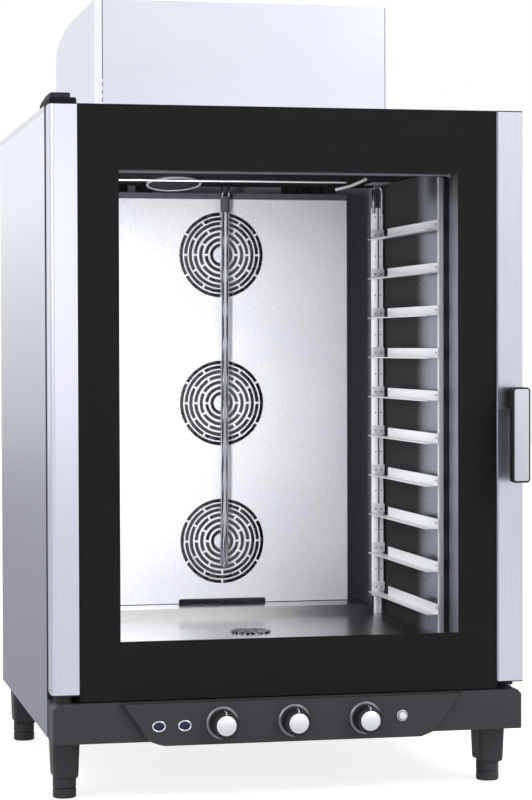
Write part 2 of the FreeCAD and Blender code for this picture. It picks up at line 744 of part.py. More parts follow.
def control_units():
    """Rotary units behind the knobs and the push switch behind the button."""
    half = UNIT_SIZE / 2
    units = []
    for x in KNOB_XS.values():
        body_front = PANEL_BACK + BUSH_LENGTH
        body_rear = body_front + UNIT_DEPTH
        body = block(x - half, x + half, body_front, body_rear, KNOB_Z - half, KNOB_Z + half)
        bush = rod_y(x, KNOB_Z, BUSH_R, PANEL_BACK, body_front)
        bore = rod_y(x, KNOB_Z, KNOB_SHAFT_R + RUN_GAP, PANEL_BACK, body_front + UNIT_BORE)
        units.append(fuse_all([body, bush]).cut(bore))
    half = SWITCH_SIZE / 2
    start = PANEL_BACK + SEAT_GAP + BUTTON_FLANGE_T + BUTTON_TRAVEL + SEAT_GAP
    switch = block(
        BUTTON_X - half, BUTTON_X + half, start, start + SWITCH_DEPTH, BUTTON_Z - half, BUTTON_Z + half,
    )
    cage = block(
        BUTTON_X - half, BUTTON_X + half, PANEL_BACK, start, BUTTON_Z - half, BUTTON_Z + half,
    ).cut(rod_y(BUTTON_X, BUTTON_Z, BUTTON_FLANGE_R + SEAT_GAP, PANEL_BACK, start))
    units.append(fuse_all([switch, cage]))
    return units


def knob(x):
    """Turned knob with a drafted side, a rounded front edge and a recess for its cap, on its shaft."""
    seat = V(x, at(KNOB_BACK), KNOB_Z)
    body = Part.makeCone(KNOB_R, KNOB_R - KNOB_DRAFT, KNOB_LENGTH, seat, V(0, -1, 0))
    body = body.makeFillet(KNOB_EDGE_R, rim_edges(body, at(KNOB_FRONT)))
    recess = rod_y(x, KNOB_Z, KNOB_CAP_R + RUN_GAP, KNOB_FRONT, KNOB_FRONT + KNOB_RECESS)
    shaft_end = PANEL_BACK + BUSH_LENGTH + UNIT_BORE - SEAT_GAP
    shaft = rod_y(x, KNOB_Z, KNOB_SHAFT_R, KNOB_BACK, shaft_end)
    return fuse_all([body.cut(recess), shaft])


def knob_cap(x):
    start = KNOB_FRONT + KNOB_RECESS - KNOB_CAP_T
    return rod_y(x, KNOB_Z, KNOB_CAP_R, start, KNOB_FRONT + KNOB_RECESS)


def push_button():
    start = PANEL_FACE - BUTTON_PROUD
    flange_start = PANEL_BACK + SEAT_GAP
    stem = rod_y(BUTTON_X, BUTTON_Z, BUTTON_R, start, flange_start)
    stem = stem.makeFillet(BUTTON_EDGE_R, rim_edges(stem, at(start)))
    flange = rod_y(BUTTON_X, BUTTON_Z, BUTTON_FLANGE_R, flange_start, flange_start + BUTTON_FLANGE_T)
    return fuse_all([stem, flange])


# Door


def column_shell(z0, z1):
    """Left column's outer form, with rounded outer edges."""
    form = block(-HALF, -COLUMN_INNER, 0, COLUMN_DEPTH, z0, z1)
    for y, radius in ((at(0), COLUMN_FRONT_R), (at(COLUMN_DEPTH), COLUMN_REAR_R)):
        form = round_edges(
            form, radius,
            lambda a, b: near(a.x, -HALF) and near(b.x, -HALF) and near(a.y, y) and near(b.y, y),
        )
    return form


def column_bore(gap, z0, z1):
    """The hollow inside a column, drawn in by gap, with cut outer corners."""
    wall = COLUMN_WALL + gap
    x0 = wall - HALF
    x1 = -COLUMN_INNER - wall
    d1 = COLUMN_DEPTH - wall
    corners = [
        (x0 + COLUMN_FRONT_R, wall), (x1, wall), (x1, d1), (x0 + COLUMN_REAR_R, d1),
        (x0, d1 - COLUMN_REAR_R), (x0, wall + COLUMN_FRONT_R),
    ]
    points = [V(x, at(d), z0) for x, d in corners]
    return Part.Face(Part.makePolygon(points + points[:1])).extrude(V(0, 0, z1 - z0))


def door_column():
    """Left column: hollow profile with a boxed wing behind the glass border."""
    z0 = COLUMN_BOTTOM_Z + CAP_T
    z1 = DOOR_TOP_Z - CAP_T
    column = column_shell(z0, z1).cut(column_bore(0.0, z0, z1))
    wing = block(-COLUMN_INNER, -WING_INNER, WING_FRONT, INNER_GLASS_FRONT, z0, z1)
    wing_hollow = block(
        -COLUMN_INNER, -WING_INNER - WING_WALL, WING_FRONT + WING_WALL, INNER_GLASS_FRONT - WING_WALL,
        z0 + WING_WALL, z1 - WING_WALL,
    )
    return fuse_all([column, wing.cut(wing_hollow)])


def spindle_hole():
    return rod_y(HANDLE_X, HANDLE_PIVOT_Z, SPINDLE_R + RUN_GAP, -HANDLE_REACH, FRAME_FRONT)


def cap_plug(z_face, z_end, bore):
    """Plastic end cap of a left column: a plate on the end with a plug inside."""
    low = min(z_face, z_end)
    plate_low = low if z_face < z_end else z_face - CAP_T
    plate = column_shell(plate_low, plate_low + CAP_T)
    plug_low = plate_low + CAP_T if z_face < z_end else low
    plug_high = z_end if z_face < z_end else plate_low
    plug = column_bore(CAP_PLUG_GAP, plug_low, plug_high)
    cap = fuse_all([plate, plug])
    if bore:
        cap = cap.cut(rod_z(HINGE_X, HINGE_DEPTH, PIN_R + RUN_GAP, low, low + CAP_T + CAP_PLUG))
    return cap


def door_end_caps():
    caps = []
    for bore in (True, False):
        top = cap_plug(DOOR_TOP_Z, DOOR_TOP_Z - CAP_T - CAP_PLUG, bore)
        bottom = cap_plug(COLUMN_BOTTOM_Z, COLUMN_BOTTOM_Z + CAP_T + CAP_PLUG, bore)
        caps.extend([top, bottom] if bore else [mirrored(top), mirrored(bottom)])
    return caps


def cross_bar(z0, z1):
    """Boxed bar between the columns' wings, behind the glass border."""
    bar = block(-WING_INNER, WING_INNER, WING_FRONT, INNER_GLASS_FRONT, z0, z1)
    hollow = block(
        -WING_INNER, WING_INNER, WING_FRONT + WING_WALL, INNER_GLASS_FRONT - WING_WALL,
        z0 + WING_WALL, z1 - WING_WALL,
    )
    return bar.cut(hollow)


def door_cross_bars():
    return [
        cross_bar(GLASS_BOTTOM_Z + DOOR_BOTTOM_GAP, WINDOW_BOTTOM_Z - WINDOW_REVEAL),
        cross_bar(WINDOW_TOP_Z + WINDOW_REVEAL, DOOR_TOP_Z - CAP_T),
    ]


def outer_glass():
    rear = OUTER_GLASS_INSET + OUTER_GLASS_T
    return block(-GLASS_HALF, GLASS_HALF, OUTER_GLASS_INSET, rear, GLASS_BOTTOM_Z, DOOR_TOP_Z)


def glass_mask():
    """Black printed border behind the outer glass, clear at the window."""
    full = block(-GLASS_HALF, GLASS_HALF, MASK_FRONT, WING_FRONT, GLASS_BOTTOM_Z, DOOR_TOP_Z)
    window = block(
        -WINDOW_HALF, WINDOW_HALF, MASK_FRONT, WING_FRONT, WINDOW_BOTTOM_Z, WINDOW_TOP_Z,
    )
    return full.cut(window)


def inner_glass():
    edge = SEAL_OFFSET + SEAL_WIDTH + INNER_GLASS_EDGE
    half = CAVITY_HALF + edge
    return block(
        -half, half, INNER_GLASS_FRONT, INNER_GLASS_REAR, CAVITY_FLOOR_Z - edge, CAVITY_CEILING_Z + edge,
    )


def door_seal():
    """Four strips on the face frame round the cavity mouth, up against the inner glass."""
    near_x = CAVITY_HALF + SEAL_OFFSET
    far_x = near_x + SEAL_WIDTH
    low = CAVITY_FLOOR_Z - SEAL_OFFSET
    high = CAVITY_CEILING_Z + SEAL_OFFSET
    d0 = INNER_GLASS_REAR + SEAT_GAP
    return [
        block(-far_x, -near_x, d0, FRAME_FRONT, low, high),
        block(near_x, far_x, d0, FRAME_FRONT, low, high),
        block(-far_x, far_x, d0, FRAME_FRONT, low - SEAL_WIDTH, low),
        block(-far_x, far_x, d0, FRAME_FRONT, high, high + SEAL_WIDTH),
    ]


# Hinges, handle and latch


def hinge_plates():
    """Upper plate on the top cover with its pin; lower plate under the fascia's ledge, disc and pin."""
    half = COLUMN_WIDTH / 2 - HINGE_PLATE_EDGE
    plate = block(
        HINGE_X - half, HINGE_X + half, HINGE_PLATE_END, HINGE_CAP_LENGTH - HINGE_PLATE_END,
        TOP_Z, TOP_Z + HINGE_PLATE_T,
    )
    upper = fuse_all([plate, rod_z(HINGE_X, HINGE_DEPTH, PIN_R, UPPER_PIN_BOTTOM_Z, TOP_Z)])
    ledge = FASCIA_TOP_Z - FASCIA_WALL
    lower_plate = block(
        FASCIA_INSET + FASCIA_WALL + FASCIA_CHAMFER - HALF, HINGE_X + half,
        FASCIA_CORNER_R, LOWER_PLATE_REAR, ledge - LOWER_PLATE_T, ledge,
    )
    disc_top = COLUMN_BOTTOM_Z - HINGE_DISC_GAP
    lower = fuse_all([
        lower_plate,
        rod_z(HINGE_X, HINGE_DEPTH, HINGE_STUD_R, ledge, FASCIA_TOP_Z),
        rod_z(HINGE_X, HINGE_DEPTH, HINGE_DISC_R, FASCIA_TOP_Z, disc_top),
        rod_z(HINGE_X, HINGE_DEPTH, PIN_R, disc_top, COLUMN_BOTTOM_Z + PIN_LENGTH),
    ])
    return [upper, lower]


def hinge_cap():
    """Stepped black cover over the upper hinge plate, falling away to the rear."""
    x0 = -HALF
    x1 = -COLUMN_INNER
    high = TOP_Z + HINGE_CAP_HEIGHT
    shoulder = high - HINGE_CAP_STEP_Z
    profile = [
        (x0, TOP_Z), (x1, TOP_Z), (x1 - HINGE_CAP_STEP_X / 2, shoulder), (x1 - HINGE_CAP_STEP_X, shoulder),
        (x1 - HINGE_CAP_STEP_X, high), (x0, high),
    ]
    form = front_plate(profile, 0, HINGE_CAP_LENGTH)
    tail = side_plate(
        [
            (HINGE_CAP_CREST, high), (HINGE_CAP_LENGTH, high - HINGE_CAP_SLOPE),
            (HINGE_CAP_LENGTH, high + HINGE_CAP_SLOPE), (HINGE_CAP_CREST, high + HINGE_CAP_SLOPE),
        ],
        x0 - HINGE_CAP_WALL, x1,
    )
    half = COLUMN_WIDTH / 2 - HINGE_PLATE_EDGE + SEAT_GAP
    end = HINGE_PLATE_END - SEAT_GAP
    hollow = block(
        HINGE_X - half, HINGE_X + half, end, HINGE_CAP_LENGTH - end, TOP_Z, TOP_Z + HINGE_PLATE_T,
    )
    return form.cut([tail, hollow])


def handle_lever():
    """Neck on the column with a flat grip bar hanging from its front, recessed for the face insert."""
    neck = block(
        HANDLE_X - NECK_WIDTH / 2, HANDLE_X + NECK_WIDTH / 2, GRIP_T - HANDLE_REACH, -SEAT_GAP,
        HANDLE_TOP_Z - NECK_HEIGHT, HANDLE_TOP_Z,
    )
    grip = block(
        HANDLE_X - GRIP_WIDTH / 2, HANDLE_X + GRIP_WIDTH / 2, INSERT_T - INSERT_RECESS - HANDLE_REACH,
        GRIP_T - HANDLE_REACH, HANDLE_BOTTOM_Z, HANDLE_TOP_Z,
    )
    grip = round_edges(grip, GRIP_EDGE_R, lambda a, b: near(a.x, b.x) and near(a.z, b.z))
    neck = round_edges(neck, GRIP_EDGE_R, lambda a, b: near(a.x, b.x) and near(a.z, b.z))
    face = INSERT_T - INSERT_RECESS - HANDLE_REACH
    return fuse_all([neck, grip]).cut(insert_form(RUN_GAP, face, face + INSERT_RECESS))


def insert_form(gap, d0, d1):
    """Face insert's outline on the grip, grown by gap, between two depths."""
    edge = INSERT_EDGE - gap
    half = GRIP_WIDTH / 2 - edge
    form = block(HANDLE_X - half, HANDLE_X + half, d0, d1, HANDLE_BOTTOM_Z + edge, HANDLE_TOP_Z - edge)
    return round_edges(form, INSERT_CORNER_R, lambda a, b: near(a.x, b.x) and near(a.z, b.z))


def handle_insert():
    return insert_form(0.0, -HANDLE_REACH, INSERT_T - HANDLE_REACH)


def handle_spindle():
    """Square-ended shaft through the column with the latch tongue behind it."""
    d0 = COLUMN_DEPTH + TONGUE_GAP
    shaft = rod_y(HANDLE_X, HANDLE_PIVOT_Z, SPINDLE_R, -SEAT_GAP, d0)
    hub = rod_y(HANDLE_X, HANDLE_PIVOT_Z, TONGUE_HUB_R, d0, d0 + TONGUE_T)
    tongue = block(
        HANDLE_X - TONGUE_LENGTH, HANDLE_X, d0, d0 + TONGUE_T,
        HANDLE_PIVOT_Z - TONGUE_WIDTH / 2, HANDLE_PIVOT_Z + TONGUE_WIDTH / 2,
    )
    return fuse_all([shaft, hub, tongue])


def latch_keeper():
    """Grooved catch on the face frame, just behind the tongue."""
    x = HANDLE_X - TONGUE_LENGTH
    d0 = COLUMN_DEPTH + TONGUE_GAP + TONGUE_T + TONGUE_GAP
    body = block(
        x - KEEPER_WIDTH / 2, x + KEEPER_WIDTH / 2, d0, FRAME_FRONT,
        HANDLE_PIVOT_Z - KEEPER_HEIGHT / 2, HANDLE_PIVOT_Z + KEEPER_HEIGHT / 2,
    )
    groove = block(
        x - KEEPER_WIDTH / 2, x + KEEPER_WIDTH / 2, d0, d0 + KEEPER_LIP,
        HANDLE_PIVOT_Z - KEEPER_SLOT / 2, HANDLE_PIVOT_Z + KEEPER_SLOT / 2,
    )
    return body.cut(groove)


# Cavity


def tube_holes(gap, z0, z1):
    return [rod_z(x, TUBE_DEPTH, TUBE_R + gap, z0, z1) for x in TUBE_XS]


def cavity_floor():
    """Flat floor sheet with the drain hole, and the folded step behind it, which falls to the door."""
    flat = block(-CAVITY_HALF, CAVITY_HALF, LINER_FRONT, STEP_FRONT, FLOOR_UNDER_Z, CAVITY_FLOOR_Z)
    drain_hole = rod_z(DRAIN_X, DRAIN_DEPTH, DRAIN_R - DRAIN_WALL, FLOOR_UNDER_Z, CAVITY_FLOOR_Z)
    fold = [
        (STEP_FRONT, FLOOR_UNDER_Z), (STEP_FRONT + LINER, FLOOR_UNDER_Z),
        (STEP_FRONT + LINER, STEP_Z - LINER), (BAFFLE_FRONT, STEP_BACK_Z - LINER),
        (CAVITY_BACK, STEP_BACK_Z - LINER), (CAVITY_BACK, STEP_BACK_Z), (BAFFLE_FRONT, STEP_BACK_Z),
        (STEP_FRONT, STEP_Z),
    ]
    step = side_plate(fold, -CAVITY_HALF, CAVITY_HALF)
    return [flat.cut(drain_hole), step.cut(tube_holes(HOLE_GAP, FLOOR_UNDER_Z, STEP_BACK_Z))]


def cavity_ceiling():
    sheet = block(
        -CAVITY_HALF, CAVITY_HALF, LINER_FRONT, CAVITY_BACK, CAVITY_CEILING_Z, CEILING_OVER_Z,
    )
    lamp = rod_z(LAMP_RING_X, LAMP_RING_DEPTH, LAMP_CAN_R + HOLE_GAP, CAVITY_CEILING_Z, CEILING_OVER_Z)
    return sheet.cut([lamp] + tube_holes(HOLE_GAP, CAVITY_CEILING_Z, CEILING_OVER_Z))


def cavity_walls():
    """Left, right and back sheets, the back one with a hole for each fan shaft."""
    left = block(-LINER_HALF, -CAVITY_HALF, LINER_FRONT, CAVITY_BACK, FLOOR_UNDER_Z, CEILING_OVER_Z)
    back = block(-LINER_HALF, LINER_HALF, CAVITY_BACK, LINER_REAR, FLOOR_UNDER_Z, CEILING_OVER_Z)
    holes = [rod_y(0, z, SHAFT_R + HOLE_GAP, CAVITY_BACK, LINER_REAR) for z in FAN_ZS.values()]
    return [left, mirrored(left), back.cut(holes)]


def insulation():
    """Mineral wool slabs on the five closed sides of the cavity."""
    outer = LINER_HALF + WOOL
    left = block(-outer, -LINER_HALF, LINER_FRONT, LINER_REAR, FLOOR_UNDER_Z, CEILING_OVER_Z)
    under = block(-outer, outer, SIDE_FRONT + SHEET, LINER_REAR, WOOL_UNDER_Z, FLOOR_UNDER_Z)
    over = block(-outer, outer, LINER_FRONT, LINER_REAR, CEILING_OVER_Z, WOOL_OVER_Z)
    rear = block(-outer, outer, LINER_REAR, WOOL_REAR, WOOL_UNDER_Z, WOOL_OVER_Z)
    drain = rod_z(DRAIN_X, DRAIN_DEPTH, DRAIN_R + HOLE_GAP, WOOL_UNDER_Z, FLOOR_UNDER_Z)
    lamp = rod_z(LAMP_RING_X, LAMP_RING_DEPTH, LAMP_CAN_R + HOLE_GAP, CEILING_OVER_Z, WOOL_OVER_Z)
    bosses = [rod_y(0, z, MOTOR_BOSS_R + HOLE_GAP, LINER_REAR, WOOL_REAR) for z in FAN_ZS.values()]
    return [
        left,
        mirrored(left),
        under.cut([drain] + tube_holes(HOLE_GAP, WOOL_UNDER_Z, FLOOR_UNDER_Z)),
        over.cut([lamp] + tube_holes(HOLE_GAP, CEILING_OVER_Z, WOOL_OVER_Z)),
        rear.cut(bosses),
    ]


def slot_ring(radius, angles):
    """One ring of curved slots round the origin, kept apart by bridges at the given angles."""
    d1 = BAFFLE_FRONT + BAFFLE_T
    outer = rod_y(0, 0, radius + SLOT_WIDTH / 2, BAFFLE_FRONT, d1)
    inner = rod_y(0, 0, radius - SLOT_WIDTH / 2, BAFFLE_FRONT, d1)
    reach = radius + SLOT_WIDTH
    bars = []
    for angle in angles:
        bar = block(-reach, reach, BAFFLE_FRONT, d1, -SLOT_BRIDGE / 2, SLOT_BRIDGE / 2)
        bar.rotate(V(0, 0, 0), V(0, 1, 0), angle)
        bars.append(bar)
    return outer.cut([inner] + bars)


def fan_baffle():
    """Sheet in front of the fans with three slotted intakes, side returns and posts to the back wall."""
    d1 = BAFFLE_FRONT + BAFFLE_T
    sheet = block(-BAFFLE_HALF, BAFFLE_HALF, BAFFLE_FRONT, d1, BAFFLE_BOTTOM_Z, BAFFLE_TOP_Z)
    lip = block(
        -BAFFLE_HALF, BAFFLE_T - BAFFLE_HALF, d1, d1 + BAFFLE_RETURN, BAFFLE_BOTTOM_Z, BAFFLE_TOP_Z,
    )
    notch = block(
        -NOTCH_WIDTH / 2, NOTCH_WIDTH / 2, BAFFLE_FRONT, d1,
        BAFFLE_BOTTOM_Z - NOTCH_HEIGHT, BAFFLE_BOTTOM_Z + NOTCH_HEIGHT,
    )
    notch = round_edges(notch, NOTCH_R, lambda a, b: near(a.x, b.x) and near(a.z, b.z))
    rings = [slot_ring(radius, angles) for radius, angles in zip(SLOT_RADII, BRIDGE_ANGLES)]
    slots = []
    for z in FAN_ZS.values():
        for ring in rings:
            for piece in ring.Solids:
                slots.append(piece.translated(V(0, 0, z)))
    baffle = fuse_all([sheet, lip, mirrored(lip)]).cut(slots + [notch])
    low = BAFFLE_BOTTOM_Z + STANDOFF_INSET_Z
    high = BAFFLE_TOP_Z - STANDOFF_INSET_Z
    post_x = BAFFLE_HALF - STANDOFF_INSET_X
    posts = []
    for x in (-post_x, post_x):
        for z in (low, (low + high) / 2, high):
            posts.append(rod_y(x, z, STANDOFF_R, d1, CAVITY_BACK))
    return [baffle] + posts


def fan_wheel(z):
    """Radial fan: back disc, blades, eye ring and hub on the motor shaft."""
    back = rod_y(0, z, FAN_R, FAN_REAR - FAN_SHEET, FAN_REAR)
    eye = rod_y(0, z, FAN_R, FAN_FRONT, FAN_FRONT + FAN_SHEET)
    eye = eye.cut(rod_y(0, z, FAN_EYE_R, FAN_FRONT, FAN_FRONT + FAN_SHEET))
    hub = rod_y(0, z, FAN_HUB_R, FAN_REAR - FAN_HUB_LENGTH, FAN_REAR)
    shaft = rod_y(0, z, SHAFT_R, FAN_REAR - FAN_HUB_LENGTH, SHAFT_END)
    pieces = [back, eye, hub, shaft]
    for step in range(FAN_BLADES):
        blade = block(
            BLADE_INNER_R, FAN_R - FAN_SHEET, FAN_FRONT, FAN_REAR, z - FAN_SHEET / 2, z + FAN_SHEET / 2,
        )
        blade.rotate(V(0, 0, z), V(0, 1, 0), 360 * step / FAN_BLADES)
        pieces.append(blade)
    return fuse_all(pieces)


def fan_motors():
    motors = []
    for z in FAN_ZS.values():
        boss = rod_y(0, z, MOTOR_BOSS_R, LINER_REAR, WOOL_REAR)
        body = rod_y(0, z, MOTOR_R, WOOL_REAR, MOTOR_REAR)
        bore = rod_y(0, z, SHAFT_R + RUN_GAP, LINER_REAR, SHAFT_END + SHAFT_END_GAP)
        motors.append(fuse_all([boss, body]).cut(bore))
    return motors


# Heat and flue


def heat_tubes():
    tubes = []
    for x in TUBE_XS:
        outer = rod_z(x, TUBE_DEPTH, TUBE_R, WOOL_UNDER_Z, WOOL_OVER_Z)
        tubes.append(outer.cut(rod_z(x, TUBE_DEPTH, TUBE_R - TUBE_WALL, WOOL_UNDER_Z, WOOL_OVER_Z)))
    return tubes


def burner_boxes():
    """One fire box under each pair of tubes, standing on the bottom tray."""
    reach = TUBE_R + BURNER_MARGIN
    boxes = []
    for first, last in ((TUBE_XS[0], TUBE_XS[1]), (TUBE_XS[2], TUBE_XS[3])):
        outer = block(
            first - reach, last + reach, TUBE_DEPTH - reach, TUBE_DEPTH + reach, TRAY_TOP_Z, WOOL_UNDER_Z,
        )
        inner = block(
            first - reach + BURNER_WALL, last + reach - BURNER_WALL, TUBE_DEPTH - reach + BURNER_WALL,
            TUBE_DEPTH + reach - BURNER_WALL, TRAY_TOP_Z + BURNER_WALL, WOOL_UNDER_Z - BURNER_WALL,
        )
        bore_r = TUBE_R - TUBE_WALL
        mouths = []
        for x in (first, last):
            mouths.append(rod_z(x, TUBE_DEPTH, bore_r, WOOL_UNDER_Z - BURNER_WALL, WOOL_UNDER_Z))
        boxes.append(outer.cut([inner] + mouths))
    return boxes


def gas_train():
    """Gas valve on the bottom tray, its manifold to both burners and its inlet stub at the rear."""
    valve = block(VALVE_X, VALVE_X + VALVE_WIDTH, VALVE_FRONT, VALVE_REAR, TRAY_TOP_Z, VALVE_TOP_Z)
    stub = rod_y(GAS_X, GAS_Z, INLET_R, VALVE_REAR, DEPTH)
    collar = rear_collar(GAS_X, GAS_Z, INLET_COLLAR_R)
    burner_rear = TUBE_DEPTH + TUBE_R + BURNER_MARGIN
    manifold_depth = burner_rear + MANIFOLD_R
    manifold = rod_x(manifold_depth, MANIFOLD_Z, MANIFOLD_R, TUBE_XS[0], TUBE_XS[3])
    riser_depth = (VALVE_FRONT + VALVE_REAR) / 2
    riser = rod_z(GAS_X, riser_depth, RISER_R, VALVE_TOP_Z, MANIFOLD_Z + RISER_R)
    link = rod_y(GAS_X, MANIFOLD_Z, LINK_R, manifold_depth, riser_depth)
    return fuse_all([valve, stub, collar, manifold, riser, link])


def flue_duct():
    """Collector over the heat tubes and the duct from it into the cowl."""
    reach = DUCT_R + COLLECTOR_MARGIN
    left = TUBE_XS[0] - TUBE_R - COLLECTOR_MARGIN
    right = TUBE_XS[3] + TUBE_R + COLLECTOR_MARGIN
    high = TOP_Z - SHEET
    outer = block(left, right, TUBE_DEPTH - reach, TUBE_DEPTH + reach, WOOL_OVER_Z, high)
    inner = block(
        left + COLLECTOR_WALL, right - COLLECTOR_WALL, TUBE_DEPTH - reach + COLLECTOR_WALL,
        TUBE_DEPTH + reach - COLLECTOR_WALL, WOOL_OVER_Z + COLLECTOR_WALL, high - COLLECTOR_WALL,
    )
    duct = rod_z(COWL_MID, TUBE_DEPTH, DUCT_R, high - COLLECTOR_WALL, DUCT_TOP_Z)
    bore = rod_z(COWL_MID, TUBE_DEPTH, DUCT_R - DUCT_WALL, high - 2 * COLLECTOR_WALL, DUCT_TOP_Z)
    mouths = tube_holes(-TUBE_WALL, WOOL_OVER_Z, WOOL_OVER_Z + COLLECTOR_WALL)
    return fuse_all([outer.cut(inner), duct]).cut([bore] + mouths)


def cowl_profile(inset):
    """Side view of the cowl from its front edge over the crown and down the rear, drawn in by inset."""
    crown_r = COWL_CROWN_R - inset
    corner_r = COWL_CORNER_R - inset
    high = COWL_TOP_Z - inset
    low_centre = COWL_TOP_Z - COWL_CROWN_R
    turn = math.asin((DEPTH - COWL_CORNER_R - COWL_CROWN) / (COWL_CROWN_R - COWL_CORNER_R))
    centre_d = COWL_CROWN + (COWL_CROWN_R - COWL_CORNER_R) * math.sin(turn)
    centre_z = low_centre + (COWL_CROWN_R - COWL_CORNER_R) * math.cos(turn)
    mid = turn / 2
    late = (turn + math.pi / 2) / 2
    start = (COWL_FRONT + SHEET, high)
    crown = (COWL_CROWN, high)
    bend_mid = (COWL_CROWN + crown_r * math.sin(mid), low_centre + crown_r * math.cos(mid))
    bend_end = (COWL_CROWN + crown_r * math.sin(turn), low_centre + crown_r * math.cos(turn))
    corner_mid = (centre_d + corner_r * math.sin(late), centre_z + corner_r * math.cos(late))
    corner_end = (DEPTH - inset, centre_z)
    foot_end = (DEPTH - inset, TOP_Z)
    return start, crown, bend_mid, bend_end, corner_mid, corner_end, foot_end


def cowl_edges(inset, x):
    """The profile's line and arc edges at one X."""
    points = [V(x, at(d), z) for d, z in cowl_profile(inset)]
    start, crown, bend_mid, bend_end, corner_mid, corner_end, foot_end = points
    return [
        Part.LineSegment(start, crown).toShape(),
        Part.Arc(crown, bend_mid, bend_end).toShape(),
        Part.Arc(bend_end, corner_mid, corner_end).toShape(),
        Part.LineSegment(corner_end, foot_end).toShape(),
    ], start, foot_end


def cowl_top():
    """Curved sheet over the cowl and down its rear, with vent slots at the rear."""
    x0 = COWL_LEFT + SHEET
    x1 = COWL_RIGHT - SHEET
    outer, outer_start, outer_end = cowl_edges(0.0, x0)
    inner, inner_start, inner_end = cowl_edges(SHEET, x0)
    closing = [
        Part.LineSegment(outer_start, inner_start).toShape(),
        Part.LineSegment(outer_end, inner_end).toShape(),
    ]
    wire = Part.Wire(Part.__sortEdges__(outer + inner + closing))
    sheet = Part.Face(wire).extrude(V(x1 - x0, 0, 0))
    slots = []
    for row in range(COWL_SLOTS):
        z = COWL_SLOT_Z + row * COWL_SLOT_PITCH
        slots.append(block(
            COWL_MID - COWL_SLOT_LENGTH / 2, COWL_MID + COWL_SLOT_LENGTH / 2, DEPTH - SHEET, DEPTH,
            z, z + COWL_SLOT_HEIGHT,
        ))
    return sheet.cut(slots)


def cowl_side(x, turn_in):
    """Flat side sheet with a return round the front corner."""
    edges, start, end = cowl_edges(0.0, x)
    foot_front = V(x, at(COWL_FRONT + SHEET), TOP_Z)
    edges.append(Part.LineSegment(end, foot_front).toShape())
    edges.append(Part.LineSegment(foot_front, start).toShape())
    sheet = Part.Face(Part.Wire(Part.__sortEdges__(edges))).extrude(V(turn_in * SHEET, 0, 0))
    near_x = min(x, x + turn_in * COWL_RETURN)
    lip = block(near_x, near_x + COWL_RETURN, COWL_FRONT, COWL_FRONT + SHEET, TOP_Z, COWL_TOP_Z)
    return fuse_all([sheet, lip])


def cowl_front():
    gap = COWL_RETURN + COWL_SEAM
    return block(COWL_LEFT + gap, COWL_RIGHT - gap, COWL_FRONT, COWL_FRONT + SHEET, TOP_Z, COWL_TOP_Z)


# Drain, water and lamp


def drain():
    """Strainer on the floor, and the pipe below it that turns back to the rear."""
    strainer = rod_z(DRAIN_X, DRAIN_DEPTH, STRAINER_R, CAVITY_FLOOR_Z, CAVITY_FLOOR_Z + STRAINER_T)
    holes = []
    for ring in range(STRAINER_RINGS):
        radius = STRAINER_R - STRAINER_RIM - ring * STRAINER_RING_PITCH
        count = int(2 * math.pi * radius / STRAINER_HOLE_PITCH)
        for step in range(count):
            angle = 2 * math.pi * step / count
            holes.append(rod_z(
                DRAIN_X + radius * math.cos(angle), DRAIN_DEPTH + radius * math.sin(angle), STRAINER_HOLE_R,
                CAVITY_FLOOR_Z, CAVITY_FLOOR_Z + STRAINER_T,
            ))
    pipe = fuse_all([drain_run(DRAIN_R), rear_collar(DRAIN_X, DRAIN_Z, DRAIN_COLLAR_R)])
    return [strainer.cut(holes), pipe.cut(drain_run(DRAIN_R - DRAIN_WALL))]


def drain_run(radius):
    elbow = Part.makeSphere(radius, V(DRAIN_X, at(DRAIN_DEPTH), DRAIN_Z))
    fall = rod_z(DRAIN_X, DRAIN_DEPTH, radius, DRAIN_Z, FLOOR_UNDER_Z)
    return fuse_all([elbow, fall, rod_y(DRAIN_X, DRAIN_Z, radius, DRAIN_DEPTH, DEPTH)])


def water_tube():
    """Vertical tube with a rounded end, and its fitting on the ceiling."""
    half = FITTING_WIDTH / 2
    reach = FITTING_LENGTH / 2
    fitting_low = CAVITY_CEILING_Z - FITTING_HEIGHT
    tube = rod_z(0, WATER_TUBE_DEPTH, WATER_TUBE_R, WATER_TUBE_BOTTOM_Z, fitting_low)
    end = Part.makeSphere(WATER_TUBE_R, V(0, at(WATER_TUBE_DEPTH), WATER_TUBE_BOTTOM_Z))
    fitting = block(
        -half, half, WATER_TUBE_DEPTH - reach, WATER_TUBE_DEPTH + reach, fitting_low, CAVITY_CEILING_Z,
    )
    return [fuse_all([tube, end]), fitting]


def water_inlet():
    half = WATER_BODY / 2
    inner = REAR_COVER - SHEET
    valve = block(
        WATER_X - half, WATER_X + half, inner - WATER_BODY_DEPTH, inner, WATER_Z - half, WATER_Z + half,
    )
    valve = valve.cut(block(
        WATER_X - half, WATER_X + half, inner - TRAY_SHEET, inner, WATER_Z - half, CASE_BOTTOM_Z + TRAY_LIP,
    ))
    spigot = rod_y(WATER_X, WATER_Z, INLET_R, inner, DEPTH)
    return fuse_all([valve, spigot, rear_collar(WATER_X, WATER_Z, INLET_COLLAR_R)])


def cable_gland():
    """Gland body outside the rear cover, its neck and the nut inside."""
    inner = REAR_COVER - SHEET
    gland = fuse_all([
        rod_y(GLAND_X, GLAND_Z, GLAND_R, REAR_COVER, REAR_COVER + GLAND_LENGTH),
        rod_y(GLAND_X, GLAND_Z, GLAND_NECK_R, inner - GLAND_NUT_T, REAR_COVER),
        rod_y(GLAND_X, GLAND_Z, GLAND_R, inner - GLAND_NUT_T, inner),
    ])
    return gland.cut(rod_y(GLAND_X, GLAND_Z, GLAND_BORE_R, inner - GLAND_NUT_T, REAR_COVER + GLAND_LENGTH))


